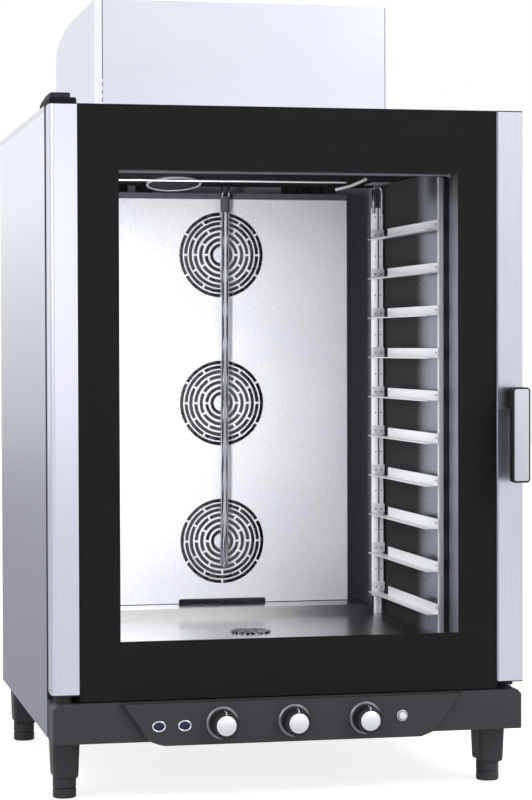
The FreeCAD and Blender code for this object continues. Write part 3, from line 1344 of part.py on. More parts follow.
def lamp_ring():
    """Bright ring on the cavity ceiling with the lamp's can above it."""
    low = CAVITY_CEILING_Z - LAMP_RING_T
    ring = rod_z(LAMP_RING_X, LAMP_RING_DEPTH, LAMP_RING_R, low, CAVITY_CEILING_Z)
    can = rod_z(LAMP_RING_X, LAMP_RING_DEPTH, LAMP_CAN_R, low, WOOL_OVER_Z)
    bore = rod_z(
        LAMP_RING_X, LAMP_RING_DEPTH, LAMP_CAN_R - LINER, low, WOOL_OVER_Z - LINER,
    )
    return fuse_all([ring, can]).cut(bore)


def lamp_glass():
    """Domed glass under the ring."""
    rim = LAMP_RING_R - LAMP_RING_WIDTH
    dome_r = (rim * rim + LAMP_DOME * LAMP_DOME) / (2 * LAMP_DOME)
    low = CAVITY_CEILING_Z - LAMP_RING_T
    ball = Part.makeSphere(dome_r, V(LAMP_RING_X, at(LAMP_RING_DEPTH), low - LAMP_DOME + dome_r))
    keep = rod_z(LAMP_RING_X, LAMP_RING_DEPTH, LAMP_RING_R, low - LAMP_DOME, low)
    return ball.common(keep)


# Tray racks


def rack_posts():
    """Front and rear posts on both sides, the rear ones with a bent hook under the ceiling."""
    left = []
    front = block(
        -RAIL_WEB_X - POST_WIDTH, -RAIL_WEB_X, POST_FRONT, POST_FRONT + POST_DEPTH,
        CAVITY_FLOOR_Z, CAVITY_CEILING_Z - POST_TOP_GAP,
    )
    left.append(front)
    left.append(rear_post())
    return left + [mirrored(post) for post in left]


def rear_post():
    mid = -RAIL_WEB_X + REAR_POST_OFFSET
    half = REAR_POST_WIDTH / 2
    foot_half = REAR_FOOT_WIDTH / 2
    d1 = REAR_POST + REAR_POST_T
    bar = block(mid - half, mid + half, REAR_POST, d1, REAR_FOOT_TOP_Z, REAR_POST_TOP_Z)
    foot_bar = block(mid - foot_half, mid + foot_half, REAR_POST, d1, CAVITY_FLOOR_Z, REAR_FOOT_TOP_Z)
    return fuse_all([bar, foot_bar, post_hook(mid)])


def post_hook(x):
    """Bent rod: two legs out of the post's top joined by a half turn."""
    depth = REAR_POST + REAR_POST_T / 2
    leg_low = REAR_POST_TOP_Z - HOOK_ROOT
    leg_high = REAR_POST_TOP_Z + HOOK_LEG
    bend = Part.makeTorus(HOOK_HALF, HOOK_R, V(x, at(depth), leg_high), V(0, 1, 0))
    upper = block(
        x - HOOK_HALF - 2 * HOOK_R, x + HOOK_HALF + 2 * HOOK_R, depth - 2 * HOOK_R, depth + 2 * HOOK_R,
        leg_high, leg_high + HOOK_HALF + 2 * HOOK_R,
    )
    legs = [rod_z(x + side * HOOK_HALF, depth, HOOK_R, leg_low, leg_high) for side in (-1, 1)]
    return fuse_all(legs + [bend.common(upper)])


def rack_rails():
    """Angle rails, one pair for each tray; their upright webs stop short of the rear posts."""
    rails = []
    web_end = REAR_POST - RAIL_WEB_STOP
    for level in range(RACK_RAILS):
        z = RACK_FIRST_Z + level * RACK_PITCH
        web = block(-RAIL_WEB_X, RAIL_SHEET - RAIL_WEB_X, POST_FRONT, web_end, z, z + RAIL_WEB)
        flange = block(-RAIL_WEB_X, RAIL_FLANGE - RAIL_WEB_X, POST_FRONT, REAR_POST, z - RAIL_SHEET, z)
        rail = fuse_all([web, flange])
        rails.append(rail)
        rails.append(mirrored(rail))
    return rails


# Export


def save(name, shape):
    """Write one piece, or a group of separate solids, under its node name."""
    shapes = shape if isinstance(shape, list) else [shape]
    solids = [solid for item in shapes for solid in item.Solids]
    for solid in solids:
        if not solid.isValid():
            print("invalid", name)
    whole = solids[0] if len(solids) == 1 else Part.makeCompound(solids)
    whole.exportStep(os.path.join("parts", name + ".step"))
    box = whole.BoundBox
    print(
        name, len(solids), "solids",
        "x %.1f %.1f y %.1f %.1f z %.1f %.1f" % (box.XMin, box.XMax, box.YMin, box.YMax, box.ZMin, box.ZMax),
    )


def main():
    os.makedirs("parts", exist_ok=True)
    casing = {
        "bottom_tray": bottom_tray(),
        "side_panel_left": side_panel(),
        "side_panel_right": mirrored(side_panel()),
        "top_cover": top_cover(),
        "rear_cover": rear_cover(),
        "cover_screws": cover_screws(),
        "front_frame": front_frame(),
        "leg_blocks": leg_blocks(),
        "base_fascia": base_fascia(),
        "control_panel": control_panel(),
        "bezels": bezels(),
        "lamp_lenses": lamp_lenses(),
        "control_units": control_units(),
        "push_button": push_button(),
    }
    for side, x in (("left", LEG_INSET_X - HALF), ("right", HALF - LEG_INSET_X)):
        casing["foot_front_" + side] = foot(x, LEG_FRONT)
        casing["foot_rear_" + side] = foot(x, LEG_REAR)
    for name, x in KNOB_XS.items():
        casing[name + "_knob"] = knob(x)
        casing[name + "_knob_cap"] = knob_cap(x)
    column = door_column()
    door = {
        "door_column_left": column,
        "door_column_right": mirrored(column).cut(spindle_hole()),
        "door_end_caps": door_end_caps(),
        "door_cross_bars": door_cross_bars(),
        "outer_glass": outer_glass(),
        "glass_mask": glass_mask(),
        "inner_glass": inner_glass(),
        "door_seal": door_seal(),
        "hinge_plates": hinge_plates(),
        "hinge_cap": hinge_cap(),
        "handle_lever": handle_lever(),
        "handle_insert": handle_insert(),
        "handle_spindle": handle_spindle(),
        "latch_keeper": latch_keeper(),
    }
    cavity = {
        "cavity_floor": cavity_floor(),
        "cavity_ceiling": cavity_ceiling(),
        "cavity_walls": cavity_walls(),
        "insulation": insulation(),
        "fan_baffle": fan_baffle(),
        "fan_motors": fan_motors(),
        "heat_exchanger": heat_tubes() + burner_boxes(),
        "gas_train": gas_train(),
        "flue_duct": flue_duct(),
        "cowl_top": cowl_top(),
        "cowl_sides": [cowl_side(COWL_LEFT, 1), cowl_side(COWL_RIGHT, -1)],
        "cowl_front": cowl_front(),
        "drain": drain(),
        "water_tube": water_tube(),
        "water_inlet": water_inlet(),
        "cable_gland": cable_gland(),
        "ceiling_lamp": [lamp_ring(), lamp_glass()],
        "rack_posts": rack_posts(),
        "rack_rails": rack_rails(),
    }
    for name, z in FAN_ZS.items():
        cavity["fan_" + name] = fan_wheel(z)
    for group in (casing, door, cavity):
        for name, shape in group.items():
            save(name, shape)


main()
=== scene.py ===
import math

import bmesh
import bpy
import numpy as np
from mathutils import Matrix, Vector


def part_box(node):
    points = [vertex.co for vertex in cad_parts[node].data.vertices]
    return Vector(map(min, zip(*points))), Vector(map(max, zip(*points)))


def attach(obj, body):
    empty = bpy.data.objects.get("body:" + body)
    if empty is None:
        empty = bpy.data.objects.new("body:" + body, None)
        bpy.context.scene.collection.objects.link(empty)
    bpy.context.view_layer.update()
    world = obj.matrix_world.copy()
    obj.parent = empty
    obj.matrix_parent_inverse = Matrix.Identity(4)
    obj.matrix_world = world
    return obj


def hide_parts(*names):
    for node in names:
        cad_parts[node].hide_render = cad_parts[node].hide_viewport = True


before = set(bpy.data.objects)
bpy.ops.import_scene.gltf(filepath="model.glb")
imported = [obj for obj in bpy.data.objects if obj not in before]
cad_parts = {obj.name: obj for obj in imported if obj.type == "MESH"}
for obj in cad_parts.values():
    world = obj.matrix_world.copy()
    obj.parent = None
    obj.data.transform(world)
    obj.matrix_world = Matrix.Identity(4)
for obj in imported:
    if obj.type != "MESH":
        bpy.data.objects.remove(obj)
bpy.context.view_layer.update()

# A ten-tray convection oven dressed for its photograph. Shapes are worked out in millimetres in the
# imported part's frame, +Z up and the door towards -Y, and go into the meshes in metres.

MM = 0.001
X, Y, Z = 0, 1, 2
SIDES = (-1, 1)
ACROSS = (1, 0, 0)
BACK = (0, 1, 0)
FORWARD = (0, -1, 0)
UP = (0, 0, 1)

# Camera, fitted to the corners of the casing in a 532 x 800 picture
CAMERA_PLACE = (-0.9413, -4.5426, 0.8064)
CAMERA_YAW = 12.1333
CAMERA_PITCH = -1.2916
CAMERA_ROLL = -0.1608
CAMERA_LENS = 108.16
SENSOR = 36.0


# Shapes


END_ROWS = 5
BLOCK_STEPS = 3
STUD_STEPS = 8
STUD_SINK = 0.5
WELD = 0.004
CREASE = math.radians(35)


def box_mm(node):
    """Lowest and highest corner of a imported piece, in millimetres."""
    low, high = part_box(node)
    return np.array(low) / MM, np.array(high) / MM


def centre_at(node, y):
    """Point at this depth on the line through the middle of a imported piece, front to back."""
    low, high = box_mm(node)
    return (low[X] + high[X]) / 2, y, (low[Z] + high[Z]) / 2


def twin(low, high):
    """Corners of the mirror image of a box across the middle, and of the box."""
    return [((-high[X], *low[1:]), (-low[X], *high[1:])), (low, high)]


def skin(points, closed=False):
    """Quads over rows of points, each row a closed loop; where closed is set, both end rows get a face."""
    rows, columns = points.shape[:2]
    row, column = np.meshgrid(np.arange(rows - 1), np.arange(columns), indexing="ij")
    here = row * columns + column
    beside = row * columns + (column + 1) % columns
    faces = [np.stack([here, beside, beside + columns, here + columns], -1).reshape(-1, 4)]
    if closed:
        faces.append(np.arange(columns) + np.array([[0], [(rows - 1) * columns]]))
    return points.reshape(-1, 3), faces


def round_corners(steps):
    """Angles round a rectangle with rounded corners, and each one's side along both its axes."""
    quarter = np.linspace(0, math.pi / 2, steps + 1)
    turn = np.concatenate([quarter + n * math.pi / 2 for n in range(4)])
    return turn, np.repeat((1, -1, -1, 1), steps + 1), np.repeat((1, 1, -1, -1), steps + 1)


def turned(profile, centre, axis, steps=48, sides=0):
    """Turned form: a (radius, height) profile goes round an axis, centre + r (u cos t + v sin t) + h w.

    With sides, the radius grows to that of a regular polygon: r / cos(t folded into half a side).
    """
    profile = np.array(profile, float)
    w = np.array(axis, float)
    u = np.roll(w, 1)
    v = np.cross(w, u)
    angle = np.linspace(0, 2 * math.pi, steps, endpoint=False)
    ring = np.cos(angle)[:, None] * u + np.sin(angle)[:, None] * v
    if sides:
        half = math.pi / sides
        ring = ring / np.cos(np.mod(angle, 2 * half) - half)[:, None]
    return skin(centre + profile[:, 0, None, None] * ring + profile[:, 1, None, None] * w)


def arc(centre, radius, start, end, steps=6):
    """Points of a circular arc in a plane, angles in degrees."""
    angle = np.radians(np.linspace(start, end, steps))
    return np.stack([centre[0] + radius * np.cos(angle), centre[1] + radius * np.sin(angle)], -1)


def tube(path, radius, sides=12):
    """Round bar along a path, path + r (n cos t + b sin t), with half-round ends.

    n is across the path and parallel to the front; b is across both.
    """
    path = np.array(path, float)
    along = np.gradient(path, axis=0)
    along /= np.linalg.norm(along, axis=1)[:, None]
    bulge = np.radians(np.linspace(90, 0, END_ROWS))
    head = path[0] - along[0] * (radius * np.sin(bulge))[:, None]
    tail = path[-1] + along[-1] * (radius * np.sin(bulge[::-1]))[:, None]
    path = np.concatenate([head, path[1:-1], tail])
    along = np.concatenate([
        np.repeat(along[:1], END_ROWS, 0), along[1:-1], np.repeat(along[-1:], END_ROWS, 0),
    ])
    middle = np.ones(len(path) - 2 * END_ROWS)
    girth = np.concatenate([np.cos(bulge), middle, np.cos(bulge[::-1])]) * radius
    across = np.cross(along, BACK)
    across /= np.linalg.norm(across, axis=1)[:, None]
    upright = np.cross(across, along)
    angle = np.linspace(0, 2 * math.pi, sides, endpoint=False)
    ring = across[:, None] * np.cos(angle)[:, None] + upright[:, None] * np.sin(angle)[:, None]
    return skin(path[:, None] + girth[:, None, None] * ring)


def soft_block(low, high, radius):
    """Rounded box: a ball of directions cut into eight and pulled apart to the corners, then closed."""
    low = np.array(low, float)
    high = np.array(high, float)
    mid = (low + high) / 2
    reach = (high - low) / 2 - radius
    turn, sign_x, sign_y = round_corners(BLOCK_STEPS)
    quarter = turn[:BLOCK_STEPS + 1]
    tilt = np.concatenate([quarter - math.pi / 2, quarter])
    sign_z = np.repeat((-1, 1), len(quarter))
    x = np.cos(tilt)[:, None] * np.cos(turn) * radius + sign_x * reach[X]
    y = np.cos(tilt)[:, None] * np.sin(turn) * radius + sign_y * reach[Y]
    z = np.sin(tilt)[:, None] * radius + sign_z[:, None] * reach[Z] + 0 * turn
    points = np.stack([x, y, z], -1) + mid
    floor = np.broadcast_to((mid[X], mid[Y], low[Z]), (1, len(turn), 3))
    roof = np.broadcast_to((mid[X], mid[Y], high[Z]), (1, len(turn), 3))
    return skin(np.concatenate([floor, points, roof]))


def rim(low, high, axis, corner, profile, steps, closed=False):
    """Rounded rectangle carried along one axis: each (outset, place) of the profile is one outline.

    Outline: middle + side (half - corner) + (corner + outset) (cos t, sin t), a quarter turn a corner.
    """
    low = np.array(low, float)
    high = np.array(high, float)
    profile = np.array(profile, float)
    i, j = [n for n in range(3) if n != axis]
    turn, side_i, side_j = round_corners(steps)
    mid = (low + high) / 2
    reach = (high - low) / 2 - corner
    points = np.zeros((len(profile), len(turn), 3))
    points[..., i] = mid[i] + side_i * reach[i] + (corner + profile[:, :1]) * np.cos(turn)
    points[..., j] = mid[j] + side_j * reach[j] + (corner + profile[:, :1]) * np.sin(turn)
    points[..., axis] = profile[:, 1:]
    return skin(points, closed)


def plate(low, high, axis, corner, low_edge, high_edge, steps=5):
    """Flat piece with rounded corners, and both its edges rounded by quarter circles of these radii."""
    swing = np.linspace(0, math.pi / 2, steps + 1)
    inset = np.concatenate([low_edge * (1 - np.sin(swing)), high_edge * (1 - np.cos(swing))])
    place = np.concatenate([
        low[axis] + low_edge * (1 - np.cos(swing)), high[axis] - high_edge * (1 - np.sin(swing)),
    ])
    return rim(low, high, axis, corner, np.stack([-inset, place], -1), steps, closed=True)


def strip(path, across, width, thick):
    """Flat bar along a path: path plus or minus half the width across and half the thickness beside it."""
    path = np.array(path, float)
    across = np.array(across, float)
    along = np.gradient(path, axis=0)
    beside = np.cross(along, across)
    beside *= thick / 2 / np.linalg.norm(beside, axis=1)[:, None]
    wide = across * width / 2
    ring = np.stack([
        path - wide - beside, path + wide - beside, path + wide + beside, path - wide + beside,
    ], 1)
    return skin(ring, closed=True)


def upright_bar(outline, foot, top):
    """Outline in plan carried from one height to another, with both ends closed."""
    return skin(np.stack([np.insert(outline, Z, z, axis=1) for z in (foot, top)]), closed=True)


def stud(place, axis, radius, height):
    """Low domed head, its foot sunk a little: radius r cos t, height h sin t."""
    angle = np.radians((0, 30, 60, 90))
    profile = np.stack([radius * np.cos(angle), height * np.sin(angle)], -1)
    profile = np.concatenate([[(0.0, -STUD_SINK), (radius, -STUD_SINK)], profile])
    return turned(profile, place, axis, STUD_STEPS)


def make_piece(name, parts, look, replaced=(), body="cabinet"):
    """One mesh at the origin from several parts, merged where they meet, facing outwards."""
    offset = 0
    faces = []
    for points, blocks in parts:
        for block in blocks:
            faces.extend((block + offset).tolist())
        offset += len(points)
    mesh = bpy.data.meshes.new(name)
    mesh.from_pydata(np.concatenate([points for points, _ in parts]) * MM, [], faces)
    shell = bmesh.new()
    shell.from_mesh(mesh)
    bmesh.ops.remove_doubles(shell, verts=shell.verts, dist=WELD * MM)
    bmesh.ops.recalc_face_normals(shell, faces=shell.faces)
    shell.to_mesh(mesh)
    shell.free()
    mesh.polygons.foreach_set("use_smooth", np.ones(len(mesh.polygons), bool))
    mesh.set_sharp_from_angle(angle=CREASE)
    mesh.materials.append(looks[look])
    piece = bpy.data.objects.new(name, mesh)
    bpy.context.scene.collection.objects.link(piece)
    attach(piece, body)
    if replaced:
        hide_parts(*replaced)


# Finishes


TONE_SWAY = 0.09
SHADE_SWAY = 0.045
REAR_WALL_Y = 335.0
REAR_WALL_EDGE = 10.0
UPRIGHT = (1.5, 1.5, 90)
LEVEL = (90, 1.5, 1.5)
INWARD = (1.5, 90, 1.5)


def linear(code):
    """Linear colour of an sRGB hex value."""
    srgb = np.array([int(code[i:i + 2], 16) for i in (1, 3, 5)]) / 255
    rgb = np.where(srgb <= 0.04045, srgb / 12.92, ((srgb + 0.055) / 1.055) ** 2.4)
    return (*rgb.tolist(), 1.0)


def add(tree, kind, sockets, **settings):
    """Add one node: settings are its properties; sockets are linked, or set where the value is plain."""
    node = tree.nodes.new(kind)
    for name, value in settings.items():
        setattr(node, name, value)
    for key, value in sockets.items():
        if isinstance(value, bpy.types.NodeSocket):
            tree.links.new(value, node.inputs[key])
        else:
            node.inputs[key].default_value = value
    return node


def material(name, **constants):
    """A new surface; constants are shader sockets that are the same all over, with _ for a space."""
    made = bpy.data.materials.new(name)
    made.use_nodes = True
    shader = made.node_tree.nodes["Principled BSDF"]
    for key, value in constants.items():
        shader.inputs[key.replace("_", " ")].default_value = value
    return made, made.node_tree, shader


def mottle(tree, sizes, detail):
    """Noise from 0 to 1 whose patches measure these millimetres: one number, or one each for X, Y and Z."""
    place = add(tree, "ShaderNodeTexCoord", {})
    scale = [1 / (size * MM) for size in np.broadcast_to(sizes, 3).tolist()]
    mapped = add(tree, "ShaderNodeMapping", {"Vector": place.outputs["Object"], "Scale": scale})
    noise = add(tree, "ShaderNodeTexNoise", {"Vector": mapped.outputs[0], "Scale": 1.0, "Detail": detail})
    return noise.outputs[0]


def dress(tree, shader, pattern, dark, light, smooth, rough, bump=0.0, depth=0.2):
    """Colour, roughness and relief from one pattern: dark and smooth at 0, light and rough at 1."""
    colour = add(
        tree, "ShaderNodeMix", {0: pattern, 6: linear(dark), 7: linear(light)}, data_type="RGBA",
    )
    tree.links.new(colour.outputs[2], shader.inputs["Base Color"])
    gloss = add(tree, "ShaderNodeMapRange", {"Value": pattern, "To Min": smooth, "To Max": rough})
    tree.links.new(gloss.outputs[0], shader.inputs["Roughness"])
    if bump:
        relief = add(tree, "ShaderNodeBump", {"Height": pattern, "Strength": bump, "Distance": depth * MM})
        tree.links.new(relief.outputs[0], shader.inputs["Normal"])


def brushed_stainless(name, grain, dark, light, rough):
    """Belt-brushed stainless sheet: long streaks one way that spread reflections across them.

    Real streaks are a tenth of a millimetre wide; they are drawn about fifteen times coarser to show.
    """
    made, tree, shader = material(name, Metallic=1.0)
    both = add(tree, "ShaderNodeMix", {0: 0.35, 2: mottle(tree, grain, 3.0), 3: mottle(tree, 240, 1.0)})
    dress(tree, shader, both.outputs[0], dark, light, rough - 0.05, rough + 0.05, bump=0.06)
    return made


def painted_light_stainless(name, axis, span, power, grain, start, end, rough, bump):
    """Stainless sheet: streaks or specks over a tone that goes with a power of the share along one axis.

    Both uses are painted light: on an upright side, a painted reflection of a dim floor near its foot and
    a bright wall near its head; on a cavity floor, painted light at one side and painted shade at the
    other.
    """
    made, tree, shader = material(name, Metallic=1.0)
    place = add(tree, "ShaderNodeTexCoord", {})
    split = add(tree, "ShaderNodeSeparateXYZ", {0: place.outputs["Object"]})
    share = add(
        tree, "ShaderNodeMapRange",
        {"Value": split.outputs[axis], "From Min": span[0] * MM, "From Max": span[1] * MM},
    )
    rise = add(tree, "ShaderNodeMath", {0: share.outputs[0], 1: power}, operation="POWER")
    marks = mottle(tree, grain, 3.0)
    sway = add(tree, "ShaderNodeMapRange", {"Value": marks, "To Min": -TONE_SWAY, "To Max": TONE_SWAY})
    # Painted light and shade: the tone rises along the axis, swayed a little by the marks
    tone = add(tree, "ShaderNodeMath", {0: rise.outputs[0], 1: sway.outputs[0]}, operation="ADD")
    dress(tree, shader, tone.outputs[0], start, end, rough - 0.03, rough + 0.03, bump)
    return made


def bright_liner(name, dark, light, rough, metallic=1.0, grain=4):
    """Cavity stainless, cold rolled: a fine bright speckle with soft clouds of heat haze.

    The real speckle is about 1 mm; it is drawn coarser so that it shows.
    """
    made, tree, shader = material(name, Metallic=metallic)
    both = add(tree, "ShaderNodeMix", {0: 0.3, 2: mottle(tree, grain, 3.0), 3: mottle(tree, 150, 2.0)})
    dress(tree, shader, both.outputs[0], dark, light, rough - 0.05, rough + 0.05, bump=0.015)
    return made


def shaded_liner(name, front, back, dark, light, rear):
    """Cavity stainless: painted light at the mouth, dull black painted shade towards the fans, finely
    speckled.

    The rear wall is painted a paler tone: painted light on its shaded face.
    """
    made, tree, shader = material(name, Specular_IOR_Level=0.0)
    place = add(tree, "ShaderNodeTexCoord", {})
    split = add(tree, "ShaderNodeSeparateXYZ", {0: place.outputs["Object"]})
    # Noise that frays the edge of the painted shade
    haze = mottle(tree, 5, 4.0)
    sway = add(tree, "ShaderNodeMapRange", {"Value": haze, "To Min": -SHADE_SWAY, "To Max": SHADE_SWAY})
    depth = add(tree, "ShaderNodeMath", {0: split.outputs[Y], 1: sway.outputs[0]}, operation="ADD")
    # Painted light and shade: 1 bright and metallic at the mouth, 0 dark and dull towards the fans
    lit_share = add(
        tree, "ShaderNodeMapRange",
        {"Value": depth.outputs[0], "From Min": back * MM, "From Max": front * MM},
        interpolation_type="SMOOTHSTEP",
    )
    dress(tree, shader, lit_share.outputs[0], dark, light, smooth=0.6, rough=0.32)
    tree.links.new(lit_share.outputs[0], shader.inputs["Metallic"])
    edge = REAR_WALL_Y - REAR_WALL_EDGE
    # Painted light: the rear wall is lifted to a paler tone
    rear_lift = add(
        tree, "ShaderNodeMapRange",
        {"Value": split.outputs[Y], "From Min": edge * MM, "From Max": REAR_WALL_Y * MM},
    )
    shaded_tone = shader.inputs["Base Color"].links[0].from_socket
    colour = add(
        tree, "ShaderNodeMix", {0: rear_lift.outputs[0], 6: shaded_tone, 7: linear(rear)}, data_type="RGBA",
    )
    tree.links.new(colour.outputs[2], shader.inputs["Base Color"])
    return made


def punched_steel():
    """Punched stainless strainer: bright lands between dark spots of about 7 mm, painted shade of its
    holes.
    """
    made, tree, shader = material("punched_strainer", Metallic=1.0)
    # Painted shade: dark spots for the shadowed holes
    spots = mottle(tree, 7, 1.0)
    sharp = add(tree, "ShaderNodeMapRange", {"Value": spots, "From Min": 0.47, "From Max": 0.6})
    dress(tree, shader, sharp.outputs[0], "#1C1C1F", "#D8D8E0", 0.3, 0.4, bump=0.2)
    return made


def galvanised():
    """Hot-dip galvanised sheet: angular zinc spangles of about 9 mm that catch light differently."""
    made, tree, shader = material("galvanised_sheet", Metallic=1.0)
    place = add(tree, "ShaderNodeTexCoord", {})
    spangle = add(tree, "ShaderNodeTexVoronoi", {"Vector": place.outputs["Object"], "Scale": 1 / (9 * MM)})
    tone = add(tree, "ShaderNodeSeparateXYZ", {0: spangle.outputs["Color"]})
    dress(tree, shader, tone.outputs[0], "#9A9DA2", "#B9BCC1", 0.32, 0.5)
    return made


def mottled(name, sizes, detail, dark, light, smooth, rough, bump=0.0, depth=0.2, **constants):
    """Surface dressed by one noise with patches of these millimetres."""
    made, tree, shader = material(name, **constants)
    dress(tree, shader, mottle(tree, sizes, detail), dark, light, smooth, rough, bump, depth)
    return made


def moulded(name, dark, light, smooth, rough, grain=1.6, bump=0.25, specular=0.4):
    """Moulded plastic with an eroded tool texture: a fine even grain, duller in its hollows.

    The real grain is about 0.3 mm; it is drawn coarser so that it shows.
    """
    return mottled(name, grain, 3.0, dark, light, smooth, rough, bump, Specular_IOR_Level=specular)


def polished(name, dark, light, smooth, rough, metallic=1.0):
    """Polished plated metal: a near mirror with faint hazy patches from handling."""
    return mottled(name, 14, 3.0, dark, light, smooth, rough, Metallic=metallic)


def spun_aluminium(name, dark, light):
    """Satin anodised aluminium face: very fine matt grain, bright and even."""
    return mottled(name, (0.9, 6, 0.9), 2.0, dark, light, 0.3, 0.42, bump=0.05, Metallic=0.85)


def burnt_steel_and_shade(name, dark, light):
    """Steel blackened by heat: dull scale in small dark patches, also used as painted shade."""
    return mottled(name, 8, 3.0, dark, light, 0.5, 0.7, bump=0.05, Specular_IOR_Level=0.05)


looks = {
    # Painted reflection: the side panels are dim at the foot and bright at the head
    "side": painted_light_stainless(
        "brushed_side_painted_reflection", Z, (180, 1100), 2.0, UPRIGHT, "#9395A7", "#F4F7FF", rough=0.36, bump=0.06,
    ),
    # The cowl's front, sides and top carry one stainless in three tones: painted light and shade by face
    "cowl": brushed_stainless("brushed_cowl", LEVEL, "#C6C9D4", "#DCDFE8", 0.38),
    "cowl_side": brushed_stainless("brushed_cowl_side", LEVEL, "#DCDFE9", "#EBEEF6", 0.38),
    "top": brushed_stainless("brushed_top", INWARD, "#D8DBE4", "#EAECF2", 0.36),
    "frame": brushed_stainless("brushed_frame", UPRIGHT, "#AEB1BA", "#C4C7CF", 0.34),
    "column": brushed_stainless("satin_column", UPRIGHT, "#CACDDD", "#DFE2EF", 0.26),
    "baffle": bright_liner("bright_baffle", "#C6C8D6", "#FFFFFF", 0.34, metallic=0.55, grain=5),
    # Painted light and shade: the cavity floor is white at the left and grey at the right
    "floor": painted_light_stainless(
        "floor_painted_light", X, (-260, 330), 2.0, 4, "#FFFFFF", "#98989E", rough=0.25, bump=0.015,
    ),
    # Painted light and shade: side walls bright near the door and dark towards the fans, paler on the rear
    # wall; the ceiling is painted dark all over
    "walls": shaded_liner("wall_painted_shade", -125, -5, "#2C2C2E", "#A4A6B0", "#82828A"),
    "ceiling": shaded_liner("ceiling_painted_shade", -420, -400, "#1A1A1C", "#404046", "#1A1A1C"),
    "rack": polished("satin_rack", "#ECEDF2", "#FAFAFC", 0.3, 0.4, metallic=0.45),
    "chrome": polished("bright_chrome", "#D6D8E0", "#EDEEF4", 0.06, 0.14),
    "fan": bright_liner("fan_sheet", "#77777B", "#98989C", 0.35),
    "strainer": punched_steel(),
    "heat": bright_liner("heat_tinted", "#2B2927", "#3A3734", 0.45),
    "base": moulded("grained_base", "#303135", "#3B3C40", 0.42, 0.58),
    "black": moulded("satin_black", "#131315", "#1C1C1F", 0.42, 0.54, grain=1.2, bump=0.12),
    "crown": moulded("matt_crown", "#2E2C35", "#38363F", 0.5, 0.6, grain=1.2, bump=0.08, specular=0.1),
    # Painted shade: the flange is a darker copy of the crown's plastic, a shadow line along the cap's foot
    "flange": moulded("matt_flange_painted_shade", "#131519", "#1A1C20", 0.55, 0.65, grain=1.2, bump=0.08, specular=0.1),
    "button": moulded("gloss_white", "#F0F1F5", "#FCFCFE", 0.12, 0.2, grain=3.0, bump=0.02),
    "mark": moulded("white_mark", "#EDEDED", "#FAFAFA", 0.4, 0.5, grain=2.0, bump=0.05),
    "dial": polished("satin_dial", "#83858B", "#9B9DA3", 0.34, 0.42),
    "ring": polished("satin_ring", "#868890", "#9A9CA4", 0.3, 0.4, metallic=0.45),
    "face": spun_aluminium("satin_face", "#E3E5EC", "#F4F5F9"),
    "inlay": spun_aluminium("satin_inlay", "#C2C5CF", "#D4D7DF"),
    # Clear float glass: almost all light passes; only a faint film of dust and wipe marks is seen
    "glass": mottled(
        "clear_pane", (60, 60, 200), 3.0, "#0C1012", "#20262A", 0.02, 0.07, Alpha=0.03, IOR=1.52,
    ),
    # Black ceramic print fired behind the glass: deep, even and dull, with slight density clouds
    "print": mottled("ceramic_print", 40, 2.0, "#232323", "#292929", 0.8, 0.9, Specular_IOR_Level=0.0),
    # Clear tinted polycarbonate over an unlit lamp: navy depth under a hard gloss
    "lens": mottled(
        "navy_lens", 4, 1.0, "#0B1533", "#14244A", 0.08, 0.15,
        Specular_IOR_Level=0.1, Coat_Weight=0.6, Coat_Roughness=0.03,
    ),
    "zinc": galvanised(),
    "plated": polished("zinc_plated", "#A9ACB2", "#C6C8CE", 0.25, 0.4),
    # Extruded silicone seal: matt black with a chalky bloom. The same finish is painted shade on the dark
    # strips in the door gaps, the rack post grooves and the screw recesses
    "rubber_and_shade": mottled(
        "silicone_seal_and_shade", 6, 3.0, "#141415", "#232325", 0.6, 0.8, bump=0.1, Specular_IOR_Level=0.3,
    ),
    # Lamp glass over an unlit bulb: dark and dull with a faint ripple
    "smoked": mottled(
        "lamp_glass_dark", 12, 1.0, "#1A1A1C", "#28282C", 0.5, 0.6, bump=0.05, Specular_IOR_Level=0.0,
    ),
    # Painted shade: the dark strips behind the front rack posts
    "scale": burnt_steel_and_shade("painted_shadow_strip", "#141416", "#1E1E21"),
    # The baffle's dark joint strip, and as painted shade the dark sleeve at the top of the water tube
    "blued_and_shade": burnt_steel_and_shade("blued_steel_and_shade", "#38383F", "#474750"),
    # Mineral wool slab: tangled ochre fibres, fully matt
    "wool": mottled(
        "mineral_wool_mat", (18, 3, 3), 4.0, "#7D6C45", "#B8A878", 0.9, 1.0, bump=0.8, depth=2.0,
    ),
    # Sand-cast aluminium motor housing: pebbled grey skin
    "motor": mottled("cast_motor", 2.5, 3.0, "#6C6E72", "#8B8D92", 0.45, 0.6, bump=0.4, Metallic=0.9),
    # Turned brass fitting: fine circular tool marks across its length
    "brass": mottled(
        "turned_brass", (30, 0.8, 30), 2.0, "#B08A45", "#D2B06A", 0.2, 0.32, bump=0.1, Metallic=1.0,
    ),
}

